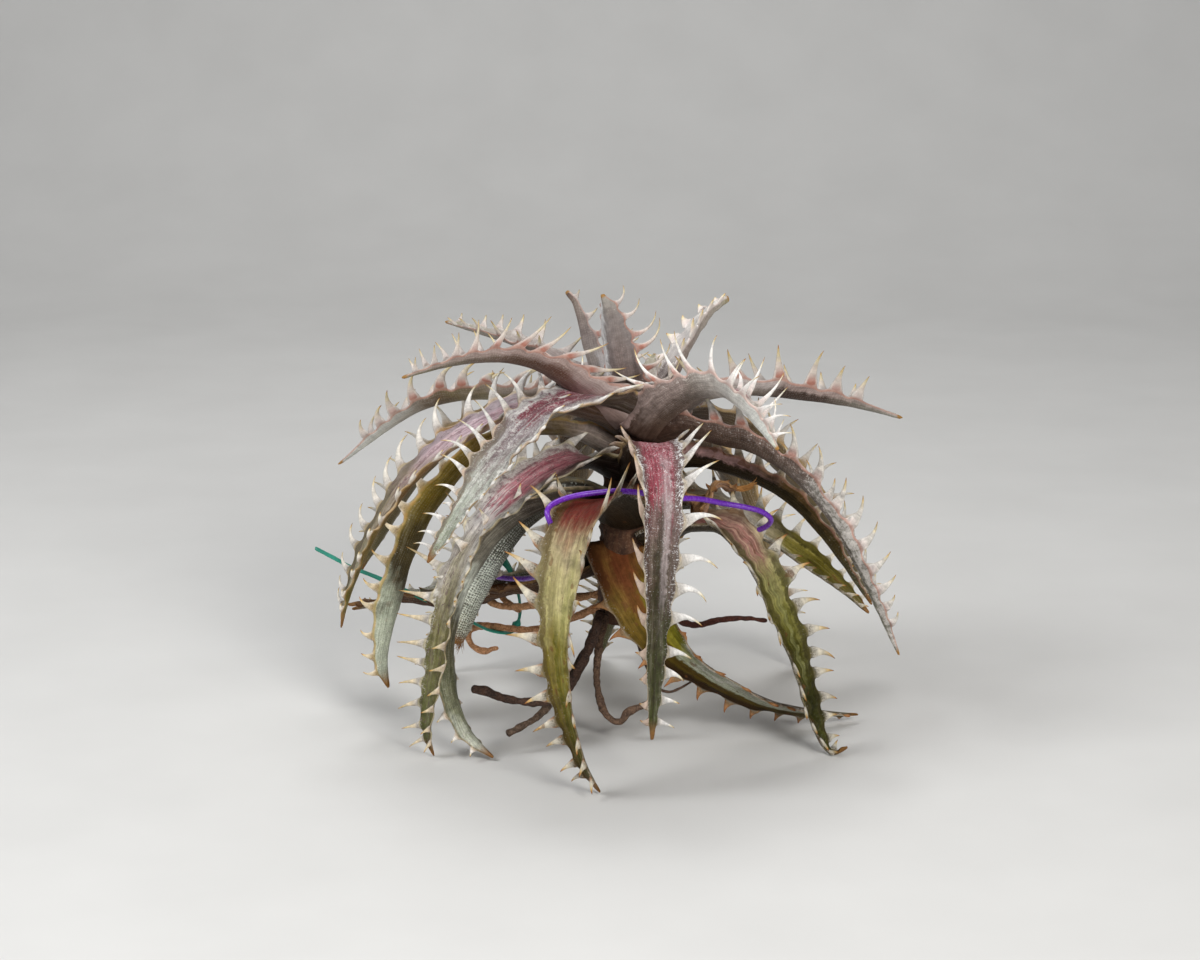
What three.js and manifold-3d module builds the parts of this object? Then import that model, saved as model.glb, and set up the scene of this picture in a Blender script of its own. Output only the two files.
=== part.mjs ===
// A bare-root dyckia: a short stem, a rosette of thick arching leaves with hooked
// marginal spines, roots, withered leaves and two ties that hold the rosette.
// Millimetres, +Z up. The plant stands on the ground plane z = 0 on its leaf tips.
import * as THREE from 'three';
import Module from 'manifold-3d';

const wasm = await Module();
wasm.setup();

// ---------------------------------------------------------------- dimensions
const GAP = 0.3;                  // clearance kept between neighbouring pieces
const LEAF_THICK_BASE = 0.5;      // blade thickness at the midrib = base + share * width
const LEAF_THICK_SHARE = 0.15;
const MARGIN_THICK_BASE = 0.42;   // blade thickness at the margin
const MARGIN_THICK_SHARE = 0.02;
const CHANNEL = 0.36;             // how far the margins rise over the midrib, of half the width
const FIRST_SPINE = 0.13;         // where along the leaf the spines begin
const LAST_SPINE = 0.97;
const SPINE_CROWDING = 1.15;      // the spines stand closer together toward the tip
const ROOT_SIDES = 7;
const WIRE_RADIUS = 0.6;          // plastic-coated wire
const WIRE_SIDES = 8;
const WIRE_STEPS = 44;
const TIE_WIDTH = 2.2;            // flat green tie
const TIE_THICK = 0.5;
const LEAVES_BEFORE_TIES = 24;    // the leaves listed after these give way to the tie
const STEM_SIDES = 14;
const STEM_CENTRE = [0, 1.0];     // x, y of the stem's axis
// stem profile: height, radius
const STEM_PROFILE = [[22, 5.2], [24, 6.2], [30, 6.6], [36, 6.2], [44, 6.0], [51, 5.4], [56, 4.2], [58.5, 2.4]];
// the whole plant is moved so that the origin is under the middle of its box
const ORIGIN = [4.06, 1.41, -1.10];

// Each leaf is a list of stations from the stem to the tip:
// x, y, z of the midrib, the direction that the upper face looks in, and the blade's width.
// spines = marginal spines on each side, reach = length of the longest of them,
// back = lean of the lowest spines toward the stem, rise = how steeply they stand out of
// the blade's plane, both in degrees.
const LEAVES = {
  front_leaf_centre: { spines: 13, reach: 8.0, back: 50, rise: 38, colour: 0x8c8670, stations: [
    [1.7, -5, 51, -0.01, 0.55, 0.84, 10],
    [3, -16, 58.3, -0.02, 0.45, 0.89, 10],
    [4.1, -28, 62.7, 0.03, 0.06, 1, 9.4],
    [4.8, -39, 59.6, 0.25, -0.47, 0.84, 7.8],
    [4.9, -44, 53.5, 0.31, -0.82, 0.48, 7.2],
    [4.5, -46.5, 46.9, 0.3, -0.94, 0.17, 6.2],
    [4.2, -47, 37.9, 0.31, -0.95, -0.06, 4.8],
    [3.9, -45.5, 28.2, 0.3, -0.94, -0.18, 3.4],
    [3.6, -43.5, 19.1, 0.26, -0.93, -0.26, 2.2],
    [3.5, -41, 11.7, 0.22, -0.92, -0.31, 0.5]] },
  front_leaf_left_of_centre: { spines: 14, reach: 7.6, back: 48, rise: 50, colour: 0x8a8a4c, stations: [
    [-0.5, -5, 42, 0.03, 0.51, 0.86, 12],
    [-3.5, -15, 48, -0.02, 0.41, 0.91, 11.4],
    [-7, -27, 51.8, -0.15, 0.08, 0.99, 10.2],
    [-10.9, -35.5, 48.6, -0.23, -0.49, 0.84, 9.2],
    [-12.7, -41.5, 41.8, -0.33, -0.79, 0.52, 7.7],
    [-13.5, -44.5, 33.5, -0.41, -0.89, 0.21, 5.9],
    [-13, -45.5, 24.5, -0.49, -0.87, -0.06, 4.7],
    [-11.3, -44.5, 15.7, -0.55, -0.79, -0.28, 3.6],
    [-8.8, -42.4, 7.4, -0.63, -0.64, -0.44, 2.6],
    [-5.9, -39.8, 1.3, -0.71, -0.46, -0.53, 0.5]] },
  left_leaf_upper_front: { spines: 13, reach: 7.8, back: 58, rise: 48, colour: 0x8c8670, stations: [
    [1.7, -4, 63.2, 0.16, 0.55, 0.82, 11],
    [-4.8, -8, 67.2, 0.15, 0.33, 0.93, 11],
    [-10.9, -12, 68, 0.01, -0.15, 0.99, 10.2],
    [-16.8, -15.5, 66.1, -0.18, -0.43, 0.89, 9.4],
    [-21.5, -19.5, 62.3, -0.34, -0.48, 0.81, 8.8],
    [-25.3, -23, 58.2, -0.38, -0.54, 0.75, 7.8],
    [-28.9, -26, 53.8, -0.43, -0.58, 0.69, 6],
    [-32.1, -28.5, 49.4, -0.47, -0.62, 0.63, 4],
    [-34.8, -30, 45.4, -0.52, -0.62, 0.59, 2.4],
    [-37.3, -31, 42.1, -0.52, -0.62, 0.59, 0.5]] },
  left_leaf_lower_front: { spines: 15, reach: 7.6, back: 58, rise: 52, colour: 0x8c8670, stations: [
    [-1.7, -3, 51.3, 0.2, 0.49, 0.85, 12],
    [-7.4, -7, 55, 0.14, 0.22, 0.96, 12],
    [-14, -10.5, 54.9, -0.12, -0.27, 0.96, 11],
    [-20.1, -13.5, 51.5, -0.33, -0.44, 0.83, 9.8],
    [-25.1, -16, 47.5, -0.52, -0.45, 0.72, 8.8],
    [-29.4, -18, 42.1, -0.72, -0.39, 0.58, 7.8],
    [-32.5, -19.7, 35.8, -0.73, -0.55, 0.4, 7],
    [-34.6, -21, 28.4, -0.72, -0.64, 0.26, 6.2],
    [-36.1, -21.8, 20.5, -0.71, -0.68, 0.16, 5.2],
    [-37.6, -21.6, 13, -0.64, -0.77, 0.04, 3.8],
    [-38.3, -20.8, 6.4, -0.65, -0.74, -0.14, 2.2],
    [-37.3, -19.6, 1.2, -0.61, -0.74, -0.29, 0.4]] },
  right_leaf_arch_front: { spines: 11, reach: 8.0, back: 55, rise: 50, colour: 0x8f7f80, stations: [
    [2.3, -4, 59.4, -0.13, 0.78, 0.62, 12],
    [6.5, -8, 65.3, -0.06, 0.72, 0.69, 12],
    [11.6, -13.5, 70.2, 0.07, 0.55, 0.83, 10.4],
    [16.9, -19, 71.6, 0.4, 0.29, 0.87, 8.4],
    [20.8, -22.8, 69.2, 0.68, 0.07, 0.73, 6.6],
    [23.8, -25, 65.8, 0.78, 0.06, 0.62, 4.2],
    [26.6, -26.5, 62.2, 0.79, 0.05, 0.61, 0.6]] },
  crown_leaf_upright: { spines: 7, reach: 7.2, back: 20, rise: 55, colour: 0x8f7f80, stations: [
    [0.2, -3, 60.3, 0.32, 0.86, 0.39, 10],
    [-0.6, -5, 65.4, 0.36, 0.87, 0.33, 9.6],
    [-1.7, -6.2, 71, 0.41, 0.88, 0.24, 7.6],
    [-2.7, -7, 76.5, 0.47, 0.86, 0.19, 6.2],
    [-3.5, -7.4, 80.8, 0.46, 0.87, 0.18, 5.2],
    [-4.4, -7.8, 84.7, 0.45, 0.86, 0.23, 3.4],
    [-5.5, -8.2, 87.7, 0.46, 0.84, 0.28, 0.6]] },
  left_leaf_upper: { spines: 11, reach: 8.4, back: 52, rise: 52, colour: 0x8f7f80, stations: [
    [-0.6, -3, 61.1, 0.2, 0.68, 0.7, 11],
    [-4.8, -6, 65.2, 0.23, 0.67, 0.71, 10.6],
    [-9.6, -9, 69.7, 0.21, 0.65, 0.73, 9.6],
    [-15, -12.5, 74, 0.17, 0.56, 0.81, 8.2],
    [-20.6, -15.5, 76.5, 0.04, 0.46, 0.89, 7],
    [-26, -18.2, 77.4, -0.1, 0.36, 0.93, 6],
    [-31.4, -20.6, 77.3, -0.21, 0.3, 0.93, 4.8],
    [-36.8, -22.8, 76.4, -0.28, 0.21, 0.94, 3.2],
    [-41.8, -24.8, 75.2, -0.28, 0.08, 0.96, 0.5]] },
  front_leaf_right: { spines: 13, reach: 7.2, back: 45, rise: 42, colour: 0x8a8a4c, stations: [
    [3.7, -4, 37.8, -0.24, 0.55, 0.8, 11],
    [11.2, -8, 42.8, -0.22, 0.21, 0.95, 10],
    [18.6, -12, 43, 0.26, -0.28, 0.92, 9],
    [23.4, -15, 37.2, 0.61, -0.52, 0.6, 8.2],
    [27.2, -17, 30, 0.69, -0.58, 0.45, 7.4],
    [30, -18.5, 22.6, 0.73, -0.6, 0.34, 6.7],
    [32.3, -18.8, 15.6, 0.76, -0.6, 0.25, 5.5],
    [34.1, -18.6, 9.6, 0.78, -0.59, 0.21, 4.2],
    [35.8, -18.2, 4.3, 0.8, -0.51, 0.34, 2.8],
    [38.1, -18, 1.1, 0.33, -0.11, 0.94, 1.4],
    [41.1, -18, 2.5, -0.42, 0.04, 0.91, 0.4]] },
  right_leaf_long_arch: { spines: 15, reach: 6.8, back: 48, rise: 50, colour: 0x8c8670, stations: [
    [1.7, -2, 57, -0.03, 0.66, 0.75, 11],
    [9.2, -6, 60.8, 0.12, 0.6, 0.79, 10],
    [16.6, -9.5, 60.4, 0.35, 0.52, 0.78, 9],
    [23.1, -12.5, 59, 0.47, 0.44, 0.76, 8.4],
    [28.8, -14.6, 55.8, 0.63, 0.33, 0.7, 7.9],
    [33.8, -16.4, 51.3, 0.75, 0.26, 0.61, 7.6],
    [37.9, -17.6, 46, 0.83, 0.23, 0.51, 7],
    [41.1, -18.4, 40.4, 0.86, 0.26, 0.43, 5.9],
    [44, -18.9, 34.6, 0.86, 0.32, 0.4, 4.5],
    [46.9, -19.1, 28.4, 0.86, 0.34, 0.39, 2.8],
    [50.3, -19, 20.8, 0.85, 0.37, 0.38, 0.4]] },
  left_leaf_long_arch: { spines: 15, reach: 7.2, back: 40, rise: 52, colour: 0x8c8670, stations: [
    [-0.1, 0, 58.9, 0.24, 0.58, 0.78, 11],
    [-6.3, -3, 63, 0.24, 0.44, 0.87, 10.5],
    [-13.4, -5.5, 65.3, 0.08, 0.16, 0.98, 10],
    [-20.9, -8, 65.1, -0.14, -0.13, 0.98, 9.4],
    [-28.4, -10, 62.6, -0.35, -0.22, 0.91, 8.8],
    [-35.4, -12, 58.5, -0.54, -0.25, 0.8, 8],
    [-41.6, -13.5, 52.7, -0.68, -0.28, 0.68, 7],
    [-46.3, -14.6, 46.4, -0.8, -0.24, 0.55, 6.2],
    [-50, -15, 39.7, -0.88, -0.2, 0.43, 5.2],
    [-52.5, -15, 33.5, -0.93, -0.15, 0.35, 3.9],
    [-54.1, -15, 28.6, -0.96, -0.08, 0.25, 2.4],
    [-54.8, -14.6, 25, -0.98, -0.11, 0.17, 0.4]] },
  low_leaf_right: { spines: 11, reach: 4.2, back: 25, rise: 30, colour: 0x8a8a4c, stations: [
    [-3.2, 0, 38.7, -0.17, -0.67, 0.72, 12],
    [-1.3, -6, 33.6, -0.2, -0.76, 0.61, 11.5],
    [2.1, -10, 28, -0.28, -0.91, 0.32, 10.5],
    [6.7, -12.5, 22, -0.36, -0.93, -0.11, 8.8],
    [12, -12.5, 17.2, -0.3, -0.81, -0.51, 7.4],
    [19.4, -11, 12.1, -0.22, -0.71, -0.67, 6.2],
    [27.2, -8.5, 7.9, -0.1, -0.59, -0.8, 5],
    [34.5, -3.8, 5, 0, -0.51, -0.86, 3.6],
    [40.2, -1, 3.5, -0.02, -0.39, -0.92, 2.2],
    [44.8, 1.6, 2.5, -0.02, -0.34, -0.94, 0.4]] },
  crown_leaf_right_back: { spines: 7, reach: 5.4, back: 20, rise: 45, colour: 0x8f7f80, stations: [
    [3, 3, 60.4, -0.77, -0.22, 0.6, 9],
    [5.7, 7, 65.4, -0.76, -0.23, 0.6, 8],
    [8.3, 11, 70.1, -0.74, -0.22, 0.64, 6.6],
    [11.3, 15, 74.7, -0.71, -0.18, 0.68, 4.8],
    [14.3, 18.6, 78.4, -0.65, -0.11, 0.75, 3.2],
    [16.9, 21.4, 80.5, -0.52, -0.02, 0.85, 1.8],
    [19.4, 24, 81.6, -0.46, 0.05, 0.88, 0.4]] },
  crown_leaf_left_back: { spines: 6, reach: 4.4, back: 20, rise: 45, colour: 0x8f7f80, stations: [
    [-1.7, 3, 59.4, 0.81, 0.54, 0.22, 9],
    [-4.3, 5, 64.4, 0.86, 0.48, 0.19, 8.4],
    [-6.3, 7, 69.9, 0.85, 0.51, 0.12, 6.8],
    [-8.2, 9, 74.8, 0.86, 0.5, 0.12, 5.4],
    [-9.7, 10.5, 79.9, 0.86, 0.5, 0.12, 3],
    [-10.7, 11.4, 82.8, 0.85, 0.47, 0.25, 1.5],
    [-12.3, 12.4, 84.8, 0.81, 0.38, 0.44, 0.4]] },
  left_leaf_long_back: { spines: 12, reach: 6.4, back: 40, rise: 58, colour: 0x8f7f80, stations: [
    [-1.1, 4, 61.5, 0.35, 0.54, 0.76, 10],
    [-8.2, 5.5, 63.8, 0.27, 0.47, 0.84, 9.2],
    [-15.5, 7, 64.4, 0.15, 0.44, 0.88, 8.6],
    [-22.9, 9, 64.6, 0.1, 0.4, 0.91, 8],
    [-29.6, 10.5, 64.5, 0, 0.38, 0.93, 7.4],
    [-35.9, 12, 63.4, -0.18, 0.36, 0.91, 6.8],
    [-42.3, 13.4, 60.9, -0.38, 0.34, 0.86, 5.8],
    [-47.9, 14.6, 57, -0.54, 0.27, 0.8, 4.4],
    [-53, 15.6, 53, -0.58, 0.22, 0.79, 2.8],
    [-57.7, 16.5, 49.3, -0.6, 0.12, 0.79, 0.5]] },
  right_leaf_straight_back: { spines: 9, reach: 6.2, back: 35, rise: 58, colour: 0x8f7f80, stations: [
    [3.8, 5, 61.3, -0.49, 0.4, 0.78, 9],
    [11.5, 8, 64.6, -0.38, 0.36, 0.85, 8.4],
    [19.4, 11, 65.8, -0.16, 0.38, 0.91, 7.6],
    [27.4, 14, 64.9, 0, 0.4, 0.92, 6.8],
    [35, 16.4, 63.4, 0.08, 0.41, 0.91, 5.6],
    [42, 18, 61.9, 0.14, 0.37, 0.92, 3.8],
    [48.3, 19.2, 60.2, 0.25, 0.29, 0.93, 2.2],
    [54.2, 20.2, 58, 0.31, 0.25, 0.92, 0.4]] },
  right_leaf_under_arch: { spines: 12, reach: 5.2, back: 40, rise: 55, colour: 0x8a8a4c, stations: [
    [1.8, 3, 51.5, -0.04, 0.62, 0.79, 10],
    [11.4, 1, 53.5, 0.06, 0.58, 0.81, 9],
    [19, 0, 52.4, 0.29, 0.54, 0.79, 8.2],
    [25.9, -1.2, 49.7, 0.48, 0.49, 0.73, 7.6],
    [31.8, -2.4, 45.7, 0.63, 0.43, 0.64, 6.8],
    [36.6, -3.4, 40.6, 0.74, 0.36, 0.56, 5.8],
    [40.7, -4.2, 35.1, 0.81, 0.25, 0.53, 4.4],
    [43.8, -5, 30.5, 0.83, 0.13, 0.55, 2.6],
    [46.3, -5.6, 26.9, 0.82, 0.13, 0.55, 0.5]] },
  right_leaf_low_back: { spines: 11, reach: 5.4, back: 40, rise: 55, colour: 0x8a8a4c, stations: [
    [3.5, 7, 42.1, -0.18, 0.15, 0.97, 10],
    [12.6, 6.5, 43.8, 0.08, -0.07, 0.99, 9.2],
    [21, 7, 40.7, 0.43, -0.35, 0.83, 8.4],
    [29, 7.8, 35.9, 0.52, -0.42, 0.74, 7.6],
    [36.2, 8.4, 30.8, 0.57, -0.42, 0.71, 6.6],
    [42.6, 8.8, 25.4, 0.63, -0.34, 0.7, 4],
    [47.2, 9, 21, 0.65, -0.34, 0.68, 0.5]] },
  left_leaf_behind_arch: { spines: 13, reach: 6.0, back: 35, rise: 38, colour: 0x8a8a4c, stations: [
    [-2.4, 5, 54, 0.29, 0.55, 0.78, 10],
    [-11.6, 3, 58.8, 0.13, 0.45, 0.88, 9.5],
    [-22.2, 1, 59, -0.29, 0.4, 0.87, 9],
    [-30.4, -1, 54.4, -0.62, 0.46, 0.63, 8.4],
    [-37.3, -2.6, 46.9, -0.71, 0.56, 0.42, 8.2],
    [-41.7, -3.6, 38.7, -0.79, 0.52, 0.31, 8.2],
    [-44.7, -4, 30.4, -0.81, 0.53, 0.23, 8],
    [-46.6, -4, 22.4, -0.84, 0.51, 0.18, 6.8],
    [-47.7, -3.6, 15.2, -0.9, 0.44, 0.05, 4.4],
    [-46.9, -3, 9.4, -0.92, 0.39, -0.09, 0.5]] },
  left_leaf_cut_short: { spines: 8, reach: 3.6, back: 25, rise: 25, colour: 0x8a8a4c, stations: [
    [-5.9, -2, 44.4, 0.04, 0.52, 0.86, 10],
    [-13.5, -5, 46.5, -0.27, 0.57, 0.77, 9],
    [-19.8, -7, 43.3, -0.56, 0.72, 0.41, 8],
    [-24.9, -8.5, 37.2, -0.57, 0.78, 0.25, 7.2],
    [-28.7, -9.5, 30.6, -0.56, 0.81, 0.2, 7.4],
    [-31.8, -10, 24, -0.54, 0.82, 0.21, 7.2],
    [-33.4, -10, 20.4, -0.53, 0.81, 0.23, 6]] },
  left_leaf_hidden_front: { spines: 12, reach: 4.4, back: 25, rise: 35, colour: 0x8a8a4c, stations: [
    [-4.7, -6, 45.4, 0.12, 0.49, 0.86, 10],
    [-12.3, -10, 48.7, -0.15, 0.46, 0.88, 9],
    [-20.5, -13, 46.4, -0.54, 0.5, 0.68, 8],
    [-27.1, -15, 40.7, -0.68, 0.58, 0.44, 7.2],
    [-31.8, -15.6, 32.3, -0.78, 0.56, 0.27, 6.6],
    [-34.3, -16.6, 23.2, -0.83, 0.56, 0.02, 6.2],
    [-34.2, -18.4, 14.3, -0.79, 0.55, -0.27, 5.4],
    [-31.5, -20.2, 7.4, -0.7, 0.5, -0.51, 3.8],
    [-28.7, -21.2, 4.1, -0.59, 0.4, -0.7, 2.3],
    [-25.9, -21.8, 1.7, -0.61, 0.16, -0.77, 0.5]] },
  back_leaf_upper_left: { spines: 8, reach: 5.2, back: 35, rise: 50, colour: 0x8f7f80, stations: [
    [-2, 4, 60.1, 0.77, 0.32, 0.55, 9],
    [-8.6, 8, 67, 0.67, 0.05, 0.74, 8.4],
    [-15.2, 13, 71.5, 0.41, -0.05, 0.91, 7.2],
    [-21.6, 18, 73.3, 0.16, -0.07, 0.98, 6.2],
    [-26.8, 22.5, 74.1, 0.1, -0.04, 0.99, 5],
    [-31.8, 27, 74.7, 0.1, -0.03, 0.99, 2.8],
    [-36.8, 31, 75.4, 0.03, -0.13, 0.99, 0.5]] },
  crown_leaf_centre_young: { spines: 5, reach: 3.6, back: 20, rise: 45, colour: 0x8f7f80, stations: [
    [1.8, 1, 60.2, -0.48, -0.84, 0.25, 8],
    [2.3, 2, 64.7, -0.45, -0.84, 0.29, 7.4],
    [3.1, 3.2, 68.7, -0.43, -0.81, 0.4, 5.6],
    [3.9, 4.6, 71.6, -0.42, -0.72, 0.55, 3.2],
    [4.7, 6, 73.7, -0.41, -0.68, 0.61, 0.5]] },
  crown_leaf_behind: { spines: 6, reach: 4.2, back: 20, rise: 45, colour: 0x8f7f80, stations: [
    [0.3, 5, 58.9, 0.22, -0.85, 0.48, 8],
    [-0.5, 8, 64.6, 0.21, -0.9, 0.39, 6.6],
    [-1.2, 9.6, 70.4, 0.24, -0.93, 0.27, 5],
    [-2, 10.6, 75.1, 0.25, -0.94, 0.25, 3],
    [-2.6, 11.4, 78.5, 0.28, -0.92, 0.27, 0.5]] },
  dry_leaf_right: { spines: 5, reach: 2.6, back: 20, rise: 30, colour: 0x6b4a2c, stations: [
    [4.2, 1, 38, -0.29, 0.07, 0.96, 7],
    [8.7, -1, 39.6, -0.51, -0.01, 0.86, 6.4],
    [12.7, -3, 43.1, -0.78, -0.18, 0.6, 5.6],
    [15.3, -4, 47.2, -0.83, -0.39, 0.4, 4.6],
    [16.8, -4.5, 50.1, -0.56, -0.18, 0.81, 3.6],
    [19.1, -4.5, 49.7, -0.04, 0.04, 1, 2.6],
    [21.3, -4.4, 50.3, -0.24, 0.23, 0.94, 0.6]] },
  low_leaf_back_left: { spines: 9, reach: 3.4, back: 25, rise: 35, colour: 0x6b4a2c, stations: [
    [-4.9, 8, 32.2, -0.12, 0.47, 0.87, 9],
    [-14.8, 12, 28.6, -0.19, 0.27, 0.94, 8],
    [-24.8, 16, 25.9, -0.19, 0.17, 0.97, 7],
    [-35, 19, 23.4, -0.24, 0.05, 0.97, 6],
    [-43.2, 21, 21.1, -0.26, 0.05, 0.96, 4.5],
    [-50.4, 22.5, 19, -0.24, 0.04, 0.97, 2.6],
    [-56.1, 23, 17.8, -0.2, 0.04, 0.98, 0.5]] },
  dry_leaf_left: { spines: 8, reach: 3.0, back: 25, rise: 30, colour: 0x6b4a2c, stations: [
    [-5.9, 6, 30.7, -0.26, 0.32, 0.91, 8],
    [-15.7, 9, 26.8, -0.29, 0.13, 0.95, 7.4],
    [-24.7, 12, 24.1, -0.18, 0.23, 0.95, 6.6],
    [-32.8, 14.5, 22.1, -0.19, 0, 0.98, 6],
    [-40.9, 16.5, 20.9, -0.04, 0.22, 0.97, 5],
    [-48, 18, 20.7, -0.07, 0.07, 0.99, 4],
    [-53.7, 19, 19.8, -0.13, 0.04, 0.99, 2.6],
    [-57, 19.6, 19.4, -0.11, 0.06, 0.99, 0.6]] },
  back_leaf_centre: { spines: 13, reach: 6.4, back: 45, rise: 45, colour: 0x8c8670, stations: [
    [1.1, 6, 56.7, -0.19, -0.29, 0.94, 9],
    [2.3, 13, 59.2, -0.18, -0.08, 0.98, 9],
    [4.1, 23, 58.6, -0.08, 0.34, 0.94, 8.6],
    [5.7, 33, 52.3, -0.05, 0.7, 0.71, 8],
    [6.7, 39, 43, -0.02, 0.89, 0.46, 7.4],
    [6.8, 43.5, 32.3, 0, 0.94, 0.33, 6.8],
    [6.7, 46.5, 21.7, 0.01, 0.97, 0.24, 5.8],
    [6.6, 48, 14.3, 0.01, 0.99, 0.17, 4.6],
    [6.4, 49, 7.4, 0.01, 0.99, 0.11, 2.8],
    [6.3, 49.5, 1.3, 0.01, 1, 0.08, 0.5]] },
  back_leaf_left_of_centre: { spines: 12, reach: 6.4, back: 45, rise: 45, colour: 0x8c8670, stations: [
    [-1.6, 6, 55.5, 0.4, -0.12, 0.91, 9],
    [-5.1, 13, 58, 0.21, 0.03, 0.98, 9],
    [-7.9, 22, 56.4, -0.09, 0.44, 0.89, 8.6],
    [-10.5, 30.5, 48.7, -0.21, 0.73, 0.65, 8],
    [-12.2, 36, 39.5, -0.25, 0.87, 0.43, 7.4],
    [-13.1, 39.5, 29, -0.28, 0.92, 0.29, 6.6],
    [-13.8, 42, 18.6, -0.29, 0.92, 0.27, 5.6],
    [-14.3, 44, 12.4, -0.3, 0.93, 0.23, 4.2],
    [-14.3, 45, 6, -0.31, 0.95, 0.11, 2.6],
    [-14.1, 45.3, 1.2, -0.31, 0.95, 0.05, 0.5]] },
  back_leaf_right: { spines: 12, reach: 6.2, back: 45, rise: 45, colour: 0x8c8670, stations: [
    [3.4, 7, 50.5, -0.43, 0.08, 0.9, 9],
    [8.2, 13, 52.3, -0.25, 0.16, 0.95, 9],
    [14, 19, 51.4, 0.06, 0.41, 0.91, 8.4],
    [19.4, 24, 46.5, 0.31, 0.64, 0.7, 7.8],
    [23.3, 28, 38.9, 0.46, 0.73, 0.5, 7.2],
    [26.2, 31, 30.2, 0.51, 0.77, 0.39, 6.4],
    [28.7, 33, 22.2, 0.52, 0.78, 0.34, 5.6],
    [30.9, 34.5, 14.7, 0.52, 0.79, 0.31, 4.6],
    [33.2, 35.7, 7.7, 0.52, 0.81, 0.26, 3],
    [35.4, 36, 1.3, 0.52, 0.83, 0.22, 0.5]] },
  back_leaf_left: { spines: 12, reach: 6.4, back: 45, rise: 45, colour: 0x8c8670, stations: [
    [-2.4, 6, 48.8, 0.43, 0.13, 0.89, 9],
    [-7.8, 12, 50.6, 0.21, 0.25, 0.95, 9],
    [-14.2, 17.5, 48.5, -0.13, 0.5, 0.86, 8.6],
    [-20.3, 22, 42.9, -0.28, 0.66, 0.7, 8],
    [-25.5, 25.5, 36.4, -0.37, 0.72, 0.58, 7.4],
    [-29.9, 28.5, 28.7, -0.45, 0.77, 0.46, 6.8],
    [-33.3, 30.5, 20.3, -0.5, 0.79, 0.36, 5.8],
    [-36, 32, 12.4, -0.53, 0.79, 0.3, 4.6],
    [-37.5, 33, 6.5, -0.54, 0.8, 0.25, 2.8],
    [-38.9, 33.5, 1.4, -0.55, 0.81, 0.22, 0.5]] },
  back_leaf_right_upper: { spines: 11, reach: 6.0, back: 42, rise: 48, colour: 0x8c8670, stations: [
    [3.4, 8, 57.9, -0.37, 0.25, 0.9, 9],
    [11.8, 15, 59.3, -0.19, 0.39, 0.9, 8.8],
    [19.9, 20.5, 55.9, 0.17, 0.54, 0.83, 8.2],
    [27.6, 24.5, 49.9, 0.34, 0.63, 0.7, 7.6],
    [34.3, 27.5, 42.8, 0.43, 0.67, 0.61, 7],
    [39.9, 29.5, 35.8, 0.52, 0.66, 0.54, 6],
    [44.2, 31, 29.1, 0.6, 0.65, 0.46, 4.6],
    [47.5, 32, 22.5, 0.64, 0.67, 0.38, 2.8],
    [50.1, 32.4, 16.6, 0.66, 0.67, 0.34, 0.5]] },
  back_leaf_left_upper: { spines: 11, reach: 6.0, back: 42, rise: 48, colour: 0x8c8670, stations: [
    [-3.2, 9, 57.6, 0.46, 0.22, 0.86, 9],
    [-11.8, 16, 60.5, 0.35, 0.34, 0.87, 8.8],
    [-20.8, 21.5, 60, 0.02, 0.46, 0.89, 8.2],
    [-29.3, 25.5, 56, -0.22, 0.59, 0.78, 7.4],
    [-37, 28.5, 50, -0.37, 0.65, 0.66, 6.6],
    [-43.5, 31, 42.6, -0.51, 0.66, 0.55, 5.6],
    [-48.4, 32.5, 34.6, -0.59, 0.66, 0.47, 4.2],
    [-52.3, 33.5, 27.8, -0.61, 0.67, 0.43, 2.4],
    [-55.3, 34, 22.3, -0.62, 0.68, 0.4, 0.5]] },
  low_leaf_back_centre: { spines: 9, reach: 4.4, back: 30, rise: 38, colour: 0x8a8a4c, stations: [
    [-1.2, 8, 29.3, 0.01, 0.37, 0.93, 8.6],
    [-1.9, 18, 25.3, -0.08, 0.45, 0.89, 8],
    [-3, 28, 18.9, -0.18, 0.58, 0.8, 7.2],
    [-4.2, 36, 11.7, -0.16, 0.68, 0.72, 5.8],
    [-5.3, 41, 6.1, -0.17, 0.76, 0.62, 3.6],
    [-5.9, 44, 1.4, -0.19, 0.81, 0.55, 0.5]] },
};

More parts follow.
